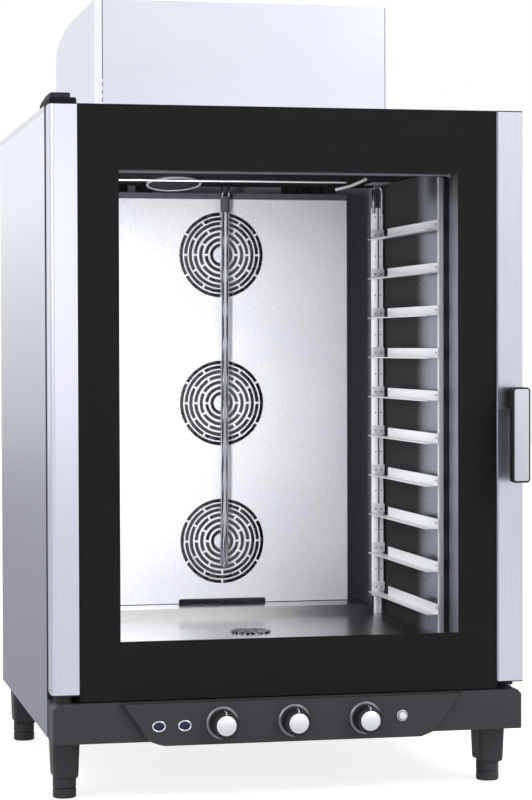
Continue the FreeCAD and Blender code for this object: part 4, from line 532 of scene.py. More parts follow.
node_looks = {
    "side": ("side_panel_left", "side_panel_right"),
    "cowl_side": ("cowl_sides",),
    "cowl": ("cowl_front",),
    "top": ("top_cover", "cowl_top"),
    "column": ("door_column_left", "door_column_right", "door_cross_bars"),
    "baffle": ("fan_baffle",),
    "floor": ("cavity_floor",),
    "walls": ("cavity_walls",),
    "ceiling": ("cavity_ceiling",),
    "rack": ("rack_posts", "rack_rails", "water_tube"),
    "chrome": ("bezels", "ceiling_lamp"),
    "plated": ("cover_screws", "handle_spindle", "latch_keeper"),
    "strainer": ("drain",),
    "fan": ("fan_upper", "fan_middle", "fan_lower"),
    "heat": ("heat_exchanger", "flue_duct"),
    "base": (
        "base_fascia", "control_panel", "leg_blocks", "foot_front_left", "foot_front_right",
        "foot_rear_left", "foot_rear_right", "cable_gland", "control_units",
    ),
    "black": (
        "timer_knob", "thermostat_knob", "steam_knob", "handle_lever", "hinge_cap", "door_end_caps",
        "hinge_plates",
    ),
    "face": ("timer_knob_cap", "thermostat_knob_cap", "steam_knob_cap", "handle_insert"),
    "lens": ("lamp_lenses",),
    "button": ("push_button",),
    "glass": ("outer_glass", "inner_glass"),
    "print": ("glass_mask",),
    "frame": ("front_frame",),
    "zinc": ("bottom_tray", "rear_cover"),
    "rubber_and_shade": ("door_seal",),
    "wool": ("insulation",),
    "motor": ("fan_motors",),
    "brass": ("gas_train", "water_inlet"),
}


def finish_nodes():
    """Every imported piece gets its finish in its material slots."""
    for look, nodes in node_looks.items():
        for node in nodes:
            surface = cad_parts[node].data
            surface.materials.clear()
            surface.materials.append(looks[look])


# Studio


WHITE = (1.0, 1.0, 1.0, 1.0)
ROOM_FILL = 0.5
FLOOR_REACH = 14.0
FLOOR_MIRRORED = 0.2
FLOOR_LIFT = 0.75


def seen_rays(tree, mirrored):
    """1 for rays straight to the eye, the mirrored share by way of metal or glass, 0 for fill."""
    path = add(tree, "ShaderNodeLightPath", {})
    seen = path.outputs["Is Camera Ray"]
    for ray in ("Is Glossy Ray", "Is Transmission Ray"):
        share = add(tree, "ShaderNodeMath", {0: path.outputs[ray], 1: mirrored}, operation="MULTIPLY")
        both = add(tree, "ShaderNodeMath", {0: seen, 1: share.outputs[0]}, operation="MAXIMUM")
        seen = both.outputs[0]
    return seen


def studio():
    """White room: the background is plain white to the eye and in reflections, softer as fill light."""
    scene = bpy.context.scene
    scene.view_settings.view_transform = "Standard"
    world = bpy.data.worlds.new("white_room")
    scene.world = world
    world.use_nodes = True
    tree = world.node_tree
    room = tree.nodes["Background"]
    rays = seen_rays(tree, 1.0)
    strength = add(tree, "ShaderNodeMapRange", {"Value": rays, "To Min": ROOM_FILL, "To Max": 1.0})
    tree.links.new(strength.outputs[0], room.inputs["Strength"])
    room.inputs["Color"].default_value = WHITE


def studio_floor():
    """Pale floor, lifted to white where it is seen; shadows still darken it."""
    points = np.array([(-1, -1, 0), (1, -1, 0), (1, 1, 0), (-1, 1, 0)]) * FLOOR_REACH
    mesh = bpy.data.meshes.new("studio_floor")
    mesh.from_pydata(points, [], [[0, 1, 2, 3]])
    floor = bpy.data.objects.new("studio_floor", mesh)
    bpy.context.scene.collection.objects.link(floor)
    made, tree, shader = material("pale_floor", Roughness=0.9, Specular_IOR_Level=0.1)
    shader.inputs["Base Color"].default_value = linear("#E6E6E8")
    shader.inputs["Emission Color"].default_value = WHITE
    rays = seen_rays(tree, FLOOR_MIRRORED)
    lift = add(tree, "ShaderNodeMath", {0: rays, 1: FLOOR_LIFT}, operation="MULTIPLY")
    tree.links.new(lift.outputs[0], shader.inputs["Emission Strength"])
    mesh.materials.append(made)


def lamp(name, place, target, size, power, hidden=False, spread=180):
    """Soft lamp of this size at a place, turned to a target; a hidden one shows in no reflection.

    The spread in degrees is that of a grid in front of it.
    """
    light = bpy.data.lights.new(name, "AREA")
    light.shape = "RECTANGLE"
    light.size, light.size_y = size
    light.energy = power
    light.spread = math.radians(spread)
    holder = bpy.data.objects.new(name, light)
    holder.location = place
    aim = Vector(target) - Vector(place)
    holder.rotation_euler = aim.to_track_quat("-Z", "Y").to_euler()
    holder.visible_camera = False
    holder.visible_glossy = not hidden
    bpy.context.scene.collection.objects.link(holder)


def lights():
    """Key and fill from the front, a narrow card for the left column and a glow in the cavity."""
    lamp("key", (2.6, -3.2, 3.4), (0.0, 0.0, 0.7), (2.0, 2.0), 90)
    lamp("fill", (-3.2, -3.0, 2.2), (0.0, 0.0, 0.6), (2.5, 2.5), 40)
    lamp("column_card", (0.02, -4.4, 1.05), (-0.41, -0.38, 0.9), (0.25, 1.2), 0.22, spread=60)
    lamp("cavity_glow", (-0.27, -0.28, 0.72), (-0.14, 0.27, 0.70), (0.10, 0.80), 10.8, hidden=True)


def camera():
    """Camera at the photograph's place: yaw to the right of +Y, then pitch and roll."""
    yaw, pitch, roll = np.radians((CAMERA_YAW, CAMERA_PITCH, CAMERA_ROLL))
    ahead = Vector((math.sin(yaw) * math.cos(pitch), math.cos(yaw) * math.cos(pitch), math.sin(pitch)))
    level = Vector((math.cos(yaw), -math.sin(yaw), 0.0))
    raised = level.cross(ahead)
    right = level * math.cos(roll) + raised * math.sin(roll)
    up = right.cross(ahead)
    turn = Matrix((right, up, -ahead)).transposed()
    lens = bpy.data.cameras.new("photo_camera")
    lens.lens = CAMERA_LENS
    lens.sensor_width = SENSOR
    holder = bpy.data.objects.new("photo_camera", lens)
    holder.matrix_world = Matrix.Translation(CAMERA_PLACE) @ turn.to_4x4()
    bpy.context.scene.collection.objects.link(holder)
    bpy.context.scene.camera = holder


# Controls


KNOBS = ("timer", "thermostat", "steam")
FACE_CROWN = 3.4
POINTER_WIDTH = 1.7
POINTER_T = 0.5
POINTER_PROUD = 0.05
POINTER_INSET = 1.0
POINTER_BEND = 2.55
POINTER_BEND_AT = (20.95, 2.5)
POINTER_END = (24.0, 16.0)
DIAL_PROFILE = ((4.0, 0.0), (29.0, 0.0), (29.0, 0.2), (28.6, 0.5), (27.1, 2.0), (4.0, 2.0), (4.0, 0.0))
LENS_WIDTH = 19.0
LENS_LENGTH = 12.0
LENS_CROWN = 1.6
LAMP_RING_HALF = (12.5, 10.0)
LAMP_RING_WIRE = 1.5
LAMP_RING_RISE = 1.4
OVAL_STEPS = 48
COLLAR_PROFILE = (
    (6.8, 0.0), (10.5, 0.0), (10.5, 1.6), (10.0, 2.5), (9.0, 3.0), (7.6, 2.8), (6.8, 2.2), (6.8, 0.0),
)
BUTTON_FLANGE = ((0.0, 0.0), (8.5, 0.0), (8.5, 2.0), (6.5, 2.0))
BUTTON_R = 6.5
BUTTON_EDGE = 1.2
BUTTON_CROWN = ((3.0, 0.1), (0.0, 0.3))


def knob_faces():
    """Domed aluminium face in each knob's recess: height falls with the square of the radius."""
    share = np.linspace(1.0, 0.0, 12)
    for name in KNOBS:
        low, high = box_mm(name + "_knob_cap")
        radius = (high[X] - low[X]) / 2
        dome = np.stack([radius * share, high[Y] - low[Y] + FACE_CROWN * (1 - share ** 2)], -1)
        profile = np.concatenate([[(0.0, 0.0), (radius, 0.0)], dome])
        face = turned(profile, centre_at(name + "_knob_cap", high[Y]), FORWARD)
        make_piece(
            name + "_knob_face", [face], "face", [name + "_knob_cap"], name + "_dial",
        )


def knob_pointers():
    """White line over the top of each knob: along its front rim, round the edge and back down its side."""
    for name in KNOBS:
        front = box_mm(name + "_knob")[0][Y]
        low, high = box_mm(name + "_knob_cap")
        x = centre_at(name + "_knob", front)[X]
        z = (low[Z] + high[Z]) / 2
        start = (high[Z] - low[Z]) / 2 + POINTER_INSET
        bend = arc((z + POINTER_BEND_AT[0], front + POINTER_BEND_AT[1]), POINTER_BEND, -90, -4)
        end = (z + POINTER_END[0], front + POINTER_END[1])
        path = np.concatenate([[(z + start, front - POINTER_PROUD)], bend, [end]])
        points = np.stack([np.full(len(path), x), path[:, 1], path[:, 0]], -1)
        line = strip(points, ACROSS, POINTER_WIDTH, POINTER_T)
        make_piece(name + "_knob_pointer", [line], "mark", body=name + "_dial")


def dial_rings():
    """Bevelled satin ring on the panel behind each knob."""
    seat = box_mm("bezels")[1][Y]
    rings = [turned(DIAL_PROFILE, centre_at(name + "_knob_cap", seat), FORWARD, 64) for name in KNOBS]
    make_piece("dial_rings", rings, "dial", ["bezels"])


def oval_ring(centre, half_x, half_z, profile):
    """Ring on an oval: each (inset, height) goes in along the oval's normal and out towards -Y."""
    profile = np.array(profile, float)
    angle = np.linspace(0, 2 * math.pi, OVAL_STEPS, endpoint=False)
    edge = np.stack([half_x * np.cos(angle), 0 * angle, half_z * np.sin(angle)], -1)
    normal = np.stack([half_z * np.cos(angle), 0 * angle, half_x * np.sin(angle)], -1)
    normal /= np.linalg.norm(normal, axis=1)[:, None]
    rise = profile[:, 1, None, None] * np.array(FORWARD)
    return skin(np.array(centre) + edge - profile[:, 0, None, None] * normal + rise)


def lamp_rings():
    """Rounded chrome ring round each oval lamp, and the round one of the push button."""
    low, high = box_mm("lamp_lenses")
    panel = box_mm("control_panel")[0][Y]
    wire = arc((LAMP_RING_WIRE, LAMP_RING_RISE), LAMP_RING_WIRE, 180, 0, 9)
    crest = np.concatenate([[(0.0, 0.0)], wire, [(2 * LAMP_RING_WIRE, 0.0), (0.0, 0.0)]])
    rings = []
    for x in (low[X] + LENS_WIDTH / 2, high[X] - LENS_WIDTH / 2):
        rings.append(oval_ring((x, panel, (low[Z] + high[Z]) / 2), *LAMP_RING_HALF, crest))
    make_piece("lamp_rings", rings, "chrome")
    collar = turned(COLLAR_PROFILE, centre_at("push_button", panel), FORWARD)
    make_piece("button_collar", [collar], "plated")


def lamp_lenses():
    """Domed oval lens in each lamp ring: height falls with the square of the share of the oval."""
    low, high = box_mm("lamp_lenses")
    half_x = LENS_WIDTH / 2
    half_z = (high[Z] - low[Z]) / 2
    mid_z = (low[Z] + high[Z]) / 2
    angle = np.linspace(0, 2 * math.pi, 40, endpoint=False)
    share = np.array((0.0, 1.0, 1.0, 0.9, 0.75, 0.55, 0.3, 0.0))
    height = np.concatenate([[0.0, 0.0], LENS_LENGTH + LENS_CROWN * (1 - share[2:] ** 2)])
    lenses = []
    for x in (low[X] + half_x, high[X] - half_x):
        across = share[:, None] * half_x * np.cos(angle) + x
        up = share[:, None] * half_z * np.sin(angle) + mid_z
        out = high[Y] - height[:, None] + 0 * angle
        lenses.append(skin(np.stack([across, out, up], -1)))
    make_piece("domed_lenses", lenses, "lens", ["lamp_lenses"])


def white_button():
    """Push button with a softly domed cap on its flanged stem."""
    low, high = box_mm("push_button")
    length = high[Y] - low[Y]
    dome = arc((BUTTON_R - BUTTON_EDGE, length - BUTTON_EDGE), BUTTON_EDGE, 0, 75, 5)
    crown = [(radius, length + rise) for radius, rise in BUTTON_CROWN]
    button = turned([*BUTTON_FLANGE, *dome, *crown], centre_at("push_button", high[Y]), FORWARD)
    make_piece("white_button", [button], "button", ["push_button"], "button")


# Door


NECK_HEIGHT = 42.0
NECK_SETBACK = 8.0
GRIP_T = 24.0
GRIP_INSET = 2.0
INLAY_T = 1.6
FLANGE_RISE = 9.0
CROWN_RISE = 17.0
CROWN_SINK = 3.0
CROWN_STEP = 11.0
CROWN_EDGE = 1.5
CROWN_CREST = 66.0
CROWN_FALL = 7.0
GAP_SHADOW_INSET = 0.2
GAP_SHADOW_CLEARANCE = 0.05
GAP_SHADOW_SETBACK = 0.3
SILL_T = 1.2
SILL_GAP = 0.1
SILL_LAP = 2.0
WINDOW_ROD_Y = -350.0
WINDOW_ROD_Z = 1114.2
WINDOW_ROD_R = 2.4
WINDOW_ROD_END = 304.0
TAB_HALF = 4.0
TAB_RISE = 14.0
GASKET_HALF = 6.0
GASKET_CORNER = 12.0


def lever_handle():
    """Moulded lever: a rounded boss on the column and a flat grip with softened edges in front of it."""
    low, high = box_mm("handle_lever")
    boss_low = (low[X], low[Y] + NECK_SETBACK, high[Z] - NECK_HEIGHT)
    boss = plate(boss_low, high, Y, corner=8.0, low_edge=4.0, high_edge=0.5, steps=8)
    grip_low = (low[X] + GRIP_INSET, low[Y], low[Z])
    grip_high = (high[X] - GRIP_INSET, low[Y] + GRIP_T, high[Z])
    grip = plate(grip_low, grip_high, Y, corner=7.0, low_edge=3.5, high_edge=5.0)
    make_piece("lever_handle", [boss, grip], "black", ["handle_lever"], "handle")
    low, high = box_mm("handle_insert")
    inlay_high = (high[X], low[Y] + INLAY_T, high[Z])
    inlay = plate(low, inlay_high, Y, corner=4.0, low_edge=0.8, high_edge=0.2)
    make_piece("handle_inlay", [inlay], "inlay", ["handle_insert"], "handle")


def hinge_cover():
    """Moulded cover over the upper hinge: a flange on the casing, and a narrower crown on it.

    The crown carries a side outline across: level to its crest, then falling, and drawn in at both ends.
    """
    low, high = box_mm("hinge_cap")
    flange_high = (high[X], high[Y], low[Z] + FLANGE_RISE)
    flange = plate(low, flange_high, Z, corner=4.0, low_edge=0.3, high_edge=4.0)
    front = low[Y] + CROWN_EDGE
    back = high[Y] - CROWN_EDGE
    foot = low[Z] + FLANGE_RISE - CROWN_SINK
    top = low[Z] + CROWN_RISE
    outline = np.concatenate([
        [(front, foot)], arc((front + CROWN_EDGE, top - CROWN_EDGE), CROWN_EDGE, 180, 90),
        [(low[Y] + CROWN_CREST, top), (back, top - CROWN_FALL), (back, foot)],
    ])
    mid = np.array(((front + back) / 2, foot))
    drawn = mid + (outline - mid) * (1 - 2 * CROWN_EDGE / (back - front), 1 - CROWN_EDGE / (top - foot))
    left = low[X] + CROWN_EDGE
    right = high[X] - CROWN_STEP
    rows = ((left, drawn), (left + CROWN_EDGE, outline), (right - CROWN_EDGE, outline), (right, drawn))
    crown = skin(np.stack([np.insert(row, 0, x, axis=1) for x, row in rows]), closed=True)
    make_piece("hinge_cover", [crown], "crown", ["hinge_cap"])
    # The flange's darker plastic is painted shade along the foot of the cover
    make_piece("hinge_flange", [flange], "flange")


def frame_gap_shadow():
    """Dark strip down both sides of the front frame, in the gap between the door and the side panel:
    painted shade.
    """
    low, high = box_mm("front_frame")
    outer = box_mm("side_panel_left")[0][X] + GAP_SHADOW_INSET
    pair = twin((outer, low[Y] + GAP_SHADOW_SETBACK, low[Z]), (low[X] - GAP_SHADOW_CLEARANCE, high[Y], high[Z]))
    strips = [plate(*box, X, corner=1.0, low_edge=0.3, high_edge=0.3, steps=3) for box in pair]
    make_piece("frame_gap_shadow", strips, "rubber_and_shade")


def door_sill_shadow():
    """Dark strip across the foot of the front frame, where it shows under the door: painted shade."""
    low, high = box_mm("front_frame")
    top = box_mm("door_column_right")[0][Z] + SILL_LAP
    band_low = (low[X], low[Y] - SILL_T, low[Z])
    band_high = (high[X], low[Y] - SILL_GAP, top)
    band = plate(band_low, band_high, Y, corner=1.0, low_edge=0.3, high_edge=0.1, steps=3)
    make_piece("door_sill_shadow", [band], "rubber_and_shade")


def window_rod():
    """Bright round rod across the top of the window between the panes, with a tab at its right end."""
    left = box_mm("door_cross_bars")[0][X]
    y, z, end = WINDOW_ROD_Y, WINDOW_ROD_Z, WINDOW_ROD_END
    rod = tube([(left, y, z), (0, y, z), (end - TAB_HALF, y, z)], WINDOW_ROD_R)
    tab_low = (end - 2 * TAB_HALF, y - TAB_HALF, z - TAB_HALF)
    tab_high = (end, y + TAB_HALF, z + TAB_RISE)
    tab = plate(tab_low, tab_high, Y, corner=2.0, low_edge=0.8, high_edge=0.8, steps=3)
    make_piece("window_rod", [rod, tab], "dial", body="door")


def door_gasket():
    """Silicone seal round the cavity mouth: a D section, flat on the frame and half round to the door."""
    low, high = box_mm("door_seal")
    half = GASKET_HALF
    bulge = arc((0, low[Y] + half), half, 0, -180, 9)
    section = np.concatenate([[(half, high[Y])], bulge, [(-half, high[Y]), (half, high[Y])]])
    loop = rim(low + half, high - half, Y, GASKET_CORNER, section, 6)
    make_piece("door_gasket", [loop], "rubber_and_shade", ["door_seal"])


# Cavity


RAIL_COUNT = 10
RAIL_PITCH = 80.0
RAIL_SHEET = 1.5
REAR_POST_X = 316.0
REAR_POST_TOP = 1087.5
REAR_POST_MID = 700.0
REAR_FOOT = 36.0
REAR_FOOT_SHARE = 0.62
CHANNEL = ((-12, 3), (-5.5, 0), (1.2, 0), (1.2, 2), (4.0, 2), (4.0, 0), (12, 0), (12, 3))
GROOVE_AT = (2.6, 1.0)
GROOVE_SHADE_R = 1.2
CLIP_INNER = 12.5
CLIP_OUTER = 14.5
CLIP_T = 1.4
CLIP_GAP = 0.2
CLIP_RISE = 20.0
HOOK_BEND = 8.6
HOOK_WIRE = 4.0
HOOK_GAP = 0.4
HOOK_SHIFT = 2.0
HOOK_LAP = 9.0
HOOK_PLATE_LOW = (290.0, -70.0, -1.2)
HOOK_PLATE_HIGH = (330.0, 8.0, -0.1)
SHADOW_STRIP_T = 0.8
SHADOW_STRIP_FRONT = 10.0
SHADOW_STRIP_BACK = 38.0
WALL_SHEET = 2.0
FRONT_POST_X = (318.0, 328.0)
FRONT_POST_T = 8.0
FRONT_POST_TOP = 1120.0
REAR_RIVET_X = (-4.0, 7.5)
CLIP_RIVET_Z = 9.0
MID_RIVET_Z = 46.0
RAIL_RIVET_Y = (7.0, 16.0)
RAIL_RIVET_Z = 10.0
LAMP_TILT = math.radians(-10)
LAMP_SHIFT = 7.0
LAMP_DROP = 12.4
LAMP_LAP = 2.0
LAMP_WIRE = 2.0
LAMP_SAG = 5.0
LAMP_GLASS_T = 1.0
PROBE_Y = 40.0
PROBE_Z = 1126.0
PROBE_R = 1.7
PROBE_END = 205.0
BRACKET = ((186, PROBE_Y, 1112), (214, PROBE_Y, 1119), (222, PROBE_Y, 1122))
BRACKET_END = 246.0
BRACKET_SIZE = (12.0, 5.0)
PROBE_CLIP_X = (-215.0, 60.0)
PROBE_CLIP_SIZE = (8.0, 1.0)
TUBE_R = 8.0
TUBE_LEAN = 0.006
TUBE_END = 26.0
FORK_X = (-6.5, 6.5)
FORK_HALF = (2.0, 6.0)
FORK_HEIGHT = 30.0
SLEEVE_FOOT = 58.0
SLEEVE_T = 1.2
FOLD_T = 1.0
FOLD_BELOW = 6.5
FOLD_ABOVE = 6.0


def rail_heights():
    """Upper faces of the rails' flanges."""
    first = box_mm("rack_rails")[0][Z] + RAIL_SHEET
    return first + RAIL_PITCH * np.arange(RAIL_COUNT)


def rear_posts():
    """Rear rack posts: a channel with one bent edge and a groove down its face, and clips at the rails."""
    floor = box_mm("rack_posts")[0][Z]
    foot = floor + REAR_FOOT
    rear = box_mm("rack_rails")[1][Y]
    channel = np.array(CHANNEL)
    posts = []
    groove_shades = []
    for side in SIDES:
        mid = side * REAR_POST_X
        outline = np.stack([mid + side * channel[:, 0], rear + channel[:, 1]], -1)
        posts.append(upright_bar(outline, foot, REAR_POST_TOP))
        outline[:, 0] = mid + side * channel[:, 0] * REAR_FOOT_SHARE
        posts.append(upright_bar(outline, floor, foot))
        # A dark round strip down each groove: painted shade in the groove
        groove = (mid + side * GROOVE_AT[0], rear + GROOVE_AT[1])
        line = [(*groove, foot + 2), (*groove, REAR_POST_MID), (*groove, REAR_POST_TOP - 1)]
        groove_shades.append(tube(line, GROOVE_SHADE_R, 8))
        x0, x1 = sorted((mid - side * CLIP_INNER, mid + side * CLIP_OUTER))
        for z in rail_heights():
            clip_low = (x0, rear - CLIP_T, z + CLIP_GAP)
            clip_high = (x1, rear, z + CLIP_RISE)
            posts.append(plate(clip_low, clip_high, Y, corner=1.5, low_edge=0.4, high_edge=0.1, steps=2))
    make_piece("rear_posts", posts, "rack", ["rack_posts"])
    make_piece("post_groove_shade", groove_shades, "rubber_and_shade")


def rack_hooks():
    """Bent rods that hang the rear posts under the ceiling, each on a small plate."""
    y = (box_mm("rack_rails")[1][Y] + box_mm("rack_posts")[1][Y]) / 2
    ceiling = box_mm("cavity_ceiling")[0][Z]
    foot = REAR_POST_TOP - HOOK_LAP
    hooks = []
    for side in SIDES:
        mid = side * (REAR_POST_X + HOOK_SHIFT)
        bend = arc((mid, ceiling - HOOK_WIRE - HOOK_BEND - HOOK_GAP), HOOK_BEND, 180, 0, 11)
        path = np.concatenate([[(mid - HOOK_BEND, foot)], bend, [(mid + HOOK_BEND, foot)]])
        hooks.append(tube(np.stack([path[:, 0], np.full(len(path), y), path[:, 1]], -1), HOOK_WIRE))
    base = np.array((0, y, ceiling))
    pair = twin(base + HOOK_PLATE_LOW, base + HOOK_PLATE_HIGH)
    plates = [plate(*box, Z, corner=4.0, low_edge=0.4, high_edge=0.1, steps=3) for box in pair]
    make_piece("rack_hooks", hooks, "chrome")
    make_piece("hook_plates", plates, "ring")


def post_shadow_strips():
    """Dark strip on each side wall behind the front rack post: painted shade."""
    low, high = box_mm("rack_posts")
    wall = box_mm("cavity_walls")[1][X] - WALL_SHEET
    pair = twin(
        (wall - SHADOW_STRIP_T, low[Y] - SHADOW_STRIP_FRONT, low[Z]), (wall, low[Y] + SHADOW_STRIP_BACK, high[Z]),
    )
    strips = [plate(*box, X, corner=3.0, low_edge=0.3, high_edge=0.3, steps=3) for box in pair]
    make_piece("post_shadow_strips", strips, "scale")


def front_posts():
    """Front rack posts: folded flat bars from the floor to just under the ceiling."""
    low = box_mm("rack_posts")[0]
    inner, outer = FRONT_POST_X
    pair = twin((inner, low[Y], low[Z]), (outer, low[Y] + FRONT_POST_T, FRONT_POST_TOP))
    posts = [soft_block(*box, 1.0) for box in pair]
    make_piece("front_posts", posts, "rack")


def rack_rivets():
    """Rivet heads: pairs on the rear clips, between them and at each rail's front end."""
    low, high = box_mm("rack_rails")
    heads = []
    for side in SIDES:
        inner = side * (high[X] - RAIL_SHEET)
        for z in rail_heights():
            for shift in REAR_RIVET_X:
                x = side * REAR_POST_X + side * shift
                heads.append(stud((x, high[Y] - CLIP_T, z + CLIP_RIVET_Z), FORWARD, 1.9, 0.9))
                heads.append(stud((x, high[Y], z + MID_RIVET_Z), FORWARD, 1.7, 0.8))
            for y in RAIL_RIVET_Y:
                heads.append(stud((inner, low[Y] + y, z + RAIL_RIVET_Z), (-side, 0, 0), 2.0, 1.0))
    make_piece("rack_rivets", heads, "dial")


def cavity_lamp():
    """Oven lamp: bright ring tipped towards the door, a domed glass in it and a skirt up to the ceiling."""
    low, high = box_mm("ceiling_lamp")
    ceiling = box_mm("cavity_ceiling")[0][Z]
    mid = (low + high) / 2
    centre = np.array((mid[X] - LAMP_SHIFT, mid[Y], ceiling - LAMP_DROP))
    radius = (high[X] - low[X]) / 2 + LAMP_LAP
    inner = radius - 2 * LAMP_WIRE

    def tip(shape):
        """Turn about the X axis through the centre: y cos a - z sin a, y sin a + z cos a."""
        points = shape[0] - centre
        y = points[:, Y] * math.cos(LAMP_TILT) - points[:, Z] * math.sin(LAMP_TILT)
        z = points[:, Y] * math.sin(LAMP_TILT) + points[:, Z] * math.cos(LAMP_TILT)
        return np.stack([points[:, X], y, z], -1) + centre, shape[1]

    ring = turned(arc((radius - LAMP_WIRE, 0), LAMP_WIRE, 0, 360, 13), centre, UP, 64)
    make_piece("lamp_ring", [tip(ring)], "ring", ["ceiling_lamp"])
    share = np.linspace(1, 0, 8)
    dome = np.stack([inner * share, -LAMP_SAG * (1 - share ** 2)], -1)
    glass = turned(np.concatenate([[(0, LAMP_GLASS_T), (inner, LAMP_GLASS_T)], dome]), centre, UP)
    skirt_low = tip(turned([(radius - LAMP_WIRE, 0)], centre, UP))[0]
    skirt_high = skirt_low.copy()
    skirt_high[:, Z] = ceiling
    skirt = skin(np.stack([skirt_low, skirt_high]), closed=True)
    make_piece("lamp_glass", [tip(glass), skirt], "smoked")


def ceiling_probe():
    """Thermostat probe: a bright rod under the ceiling on two clips, its end in a slanted bracket."""
    low, high = box_mm("cavity_ceiling")
    rod = tube([(x, PROBE_Y, PROBE_Z) for x in (-high[X], 0, PROBE_END)], PROBE_R)
    slant = strip([*BRACKET, (BRACKET_END, PROBE_Y, low[Z] - 2)], BACK, *BRACKET_SIZE)
    make_piece("ceiling_probe", [rod, slant], "rack")
    clips = []
    for x in PROBE_CLIP_X:
        line = [(x, PROBE_Y + 3, PROBE_Z - 2.3), (x, PROBE_Y + 3, low[Z])]
        clips.append(strip(line, ACROSS, *PROBE_CLIP_SIZE))
    make_piece("probe_clips", clips, "rubber_and_shade")


def spray_tube():
    """Water tube in front of the baffle: a round-ended pipe that leans a little, on a forked clamp.

    The lean moves each point sideways in proportion to its height.
    """
    low, high = box_mm("water_tube")
    x, y, _ = (low + high) / 2
    top = high[Z] - TUBE_END
    end = arc((0, low[Z] + TUBE_R), TUBE_R, -90, 0, 7)
    parts = [turned(np.concatenate([end, [(TUBE_R, top), (0, top)]]), (x, y, 0), UP, 28)]
    for shift in FORK_X:
        fork_low = (x + shift - FORK_HALF[0], y - FORK_HALF[1], high[Z] - FORK_HEIGHT)
        fork_high = (x + shift + FORK_HALF[0], y + FORK_HALF[1], high[Z])
        parts.append(soft_block(fork_low, fork_high, 1.2))
    # A dark sleeve at the top of the tube: painted shade
    foot = high[Z] - SLEEVE_FOOT
    sleeve = [(0, foot), (TUBE_R + SLEEVE_T, foot), (TUBE_R + SLEEVE_T, top), (0, top)]
    parts.append(turned(sleeve, (x, y, 0), UP, 28))
    for points, _ in parts:
        points[:, X] += TUBE_LEAN * (points[:, Z] - low[Z])
    make_piece("spray_tube", parts[:3], "chrome", ["water_tube"])
    make_piece("tube_shade_sleeve", parts[3:], "blued_and_shade")


def baffle_fold():
    """Dark joint strip over the top edge of the baffle, its outer edges rounded."""
    low, high = box_mm("fan_baffle")
    band_low = (low[X], low[Y] - FOLD_T, high[Z] - FOLD_BELOW)
    band_high = (high[X], low[Y], high[Z] + FOLD_ABOVE)
    band = plate(band_low, band_high, Y, corner=1.5, low_edge=0.4, high_edge=0.1, steps=3)
    make_piece("baffle_fold", [band], "blued_and_shade")


# Rear


LOUVRE_ROWS = 6
LOUVRE_PITCH = 14.0
LOUVRE_X = 250.0
LOUVRE_LENGTH = 150.0
LOUVRE_LAP = 3.0
LOUVRE_LIP = (5.0, 8.0)
SCREW_R = 4.5
SCREW_ROWS = 5
SCREW_EDGE = 1.6
RECESS_HALF = 2.4
RECESS_SIZE = (0.9, 0.2)
RECESS_SINK = 0.05
GLAND_BORE = 7.2
GLAND_HEX = ((7.2, 0.0), (11.2, 0.0), (11.2, 4.0), (10.6, 4.6), (7.2, 4.6), (7.2, 0.0))
GLAND_NUT_R = 11.6
GLAND_NUT_EDGE = 3.0
GLAND_FLANGE_R = 13.0
GLAND_FLANGE_T = 5.0
GLAND_STEM_R = 9.9
THREAD_TURNS = 7
THREAD_PITCH = 1.8
THREAD_R = 13.25
THREAD_DEPTH = 0.65
THREAD_ROOT = 0.5
THREAD_END = 0.6
SPIGOT_Z = 150.0
GAS_SPIGOT_X = 165.0


def louvre_hoods():
    """Pressed hood over each rear slot: a quarter-round lip that tapers to nothing at both ends."""
    face = box_mm("rear_cover")[1][Y]
    along = np.linspace(-1, 1, 15)
    swell = np.sqrt(np.clip(1 - along ** 6, 0, 1))
    lip = np.concatenate([[(-0.3, 0.0)], arc((0, 0), 1.0, 0, 90, 6) * LOUVRE_LIP])
    hoods = []
    for fan in ("fan_upper", "fan_middle", "fan_lower"):
        first = centre_at(fan, face)[Z] - (LOUVRE_ROWS - 1) / 2 * LOUVRE_PITCH
        for row in range(LOUVRE_ROWS):
            for side in SIDES:
                x = side * LOUVRE_X + along[:, None] * (LOUVRE_LENGTH / 2 + LOUVRE_LAP) + 0 * lip[:, 0]
                y = face + swell[:, None] * lip[:, 0]
                z = first + row * LOUVRE_PITCH + swell[:, None] * lip[:, 1]
                hoods.append(skin(np.stack([x, y, z], -1)))
    make_piece("louvre_hoods", hoods, "zinc")


def cover_screw_heads():
    """Pan-head screws down both edges of the rear cover, with a cross recess each."""
    low, high = box_mm("cover_screws")
    rise = high[Y] - low[Y]
    dome = arc((SCREW_R - SCREW_EDGE, rise - SCREW_EDGE), SCREW_EDGE, 0, 90, 5)
    profile = np.concatenate([[(0, 0), (SCREW_R, 0)], dome, [(0, rise)]])
    heads = []
    marks = []
    for z in np.linspace(low[Z] + SCREW_R, high[Z] - SCREW_R, SCREW_ROWS):
        for x in (low[X] + SCREW_R, high[X] - SCREW_R):
            heads.append(turned(profile, (x, low[Y], z), BACK, 20))
            # Each cross recess is a thin dark strip on the head: painted shade in place of a cut recess
            for across in (ACROSS, UP):
                end = np.array(across) * RECESS_HALF
                line = np.array((x, high[Y] - RECESS_SINK, z)) + np.array((-end, end))
                marks.append(strip(line, np.cross(BACK, across), *RECESS_SIZE))
    make_piece("cover_screw_heads", heads, "plated", ["cover_screws"])
    make_piece("screw_recess_shade", marks, "rubber_and_shade")


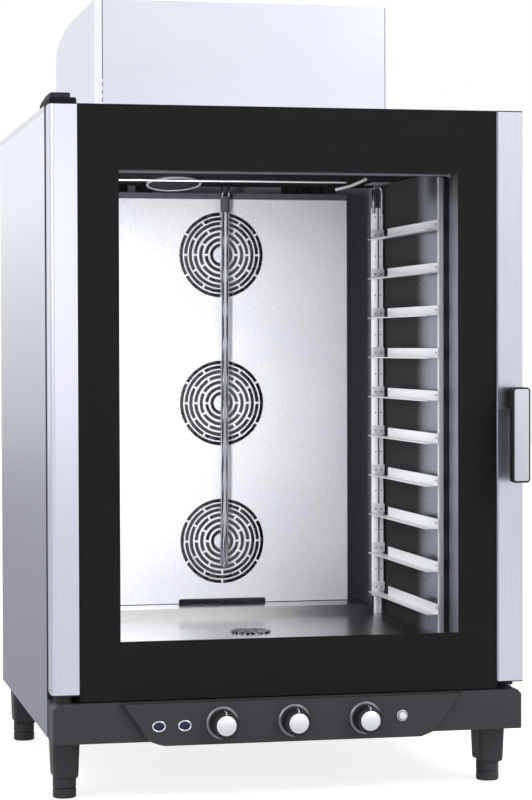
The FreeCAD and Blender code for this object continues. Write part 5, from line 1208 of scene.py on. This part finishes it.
def rear_gland():
    """Cable gland: hexagon against the rear cover, a domed clamp nut and the open mouth."""
    low, high = box_mm("cable_gland")
    centre = centre_at("cable_gland", 0)
    face = box_mm("rear_cover")[1][Y]
    hexagon = np.array(GLAND_HEX) + (0, face)
    seat = hexagon[-2, 1]
    crown = arc((GLAND_NUT_R - GLAND_NUT_EDGE, high[Y] - GLAND_NUT_EDGE), GLAND_NUT_EDGE, 0, 90, 6)
    nut = [(GLAND_BORE, seat), (GLAND_NUT_R, seat), *crown, (GLAND_BORE, high[Y]), (GLAND_BORE, seat)]
    inner = low[Y] + GLAND_FLANGE_T
    inside = [
        (GLAND_BORE, low[Y]), (GLAND_FLANGE_R, low[Y]), (GLAND_FLANGE_R, inner), (GLAND_STEM_R, inner),
        (GLAND_STEM_R, face), (GLAND_BORE, face), (GLAND_BORE, low[Y]),
    ]
    parts = [turned(hexagon, centre, BACK, 48, 6)]
    parts += [turned(profile, centre, BACK, 36) for profile in (nut, inside)]
    make_piece("rear_gland", parts, "black", ["cable_gland"])


def pipe_threads():
    """Pipe threads on the gas and water spigots: a saw-tooth radius along the axis."""
    tooth = np.array([(0, 0.0), (THREAD_DEPTH, 0.5)])
    saw = np.concatenate([tooth + (0, n) for n in range(THREAD_TURNS)])
    radius = THREAD_R + saw[:, 0]
    root = THREAD_R - THREAD_ROOT
    water_x = centre_at("water_inlet", 0)[X]
    for name, node, x in (("gas", "gas_train", GAS_SPIGOT_X), ("water", "water_inlet", water_x)):
        rear = box_mm(node)[1][Y]
        place = rear - THREAD_TURNS * THREAD_PITCH - THREAD_END + saw[:, 1] * THREAD_PITCH
        inner = [(root, place[-1] + 1.0), (root, place[0])]
        profile = np.concatenate([np.stack([radius, place], -1), inner, [(radius[0], place[0])]])
        thread = turned(profile, (x, 0, SPIGOT_Z), BACK, 40)
        make_piece(name + "_thread", [thread], "brass")


for step in (
    finish_nodes, studio, studio_floor, lights, camera,
    knob_faces, knob_pointers, dial_rings, lamp_rings, lamp_lenses, white_button,
    lever_handle, hinge_cover, frame_gap_shadow, door_sill_shadow, window_rod, door_gasket,
    rear_posts, rack_hooks, front_posts, post_shadow_strips, rack_rivets, cavity_lamp, ceiling_probe,
    spray_tube, baffle_fold,
    louvre_hoods, cover_screw_heads, rear_gland, pipe_threads,
):
    step()
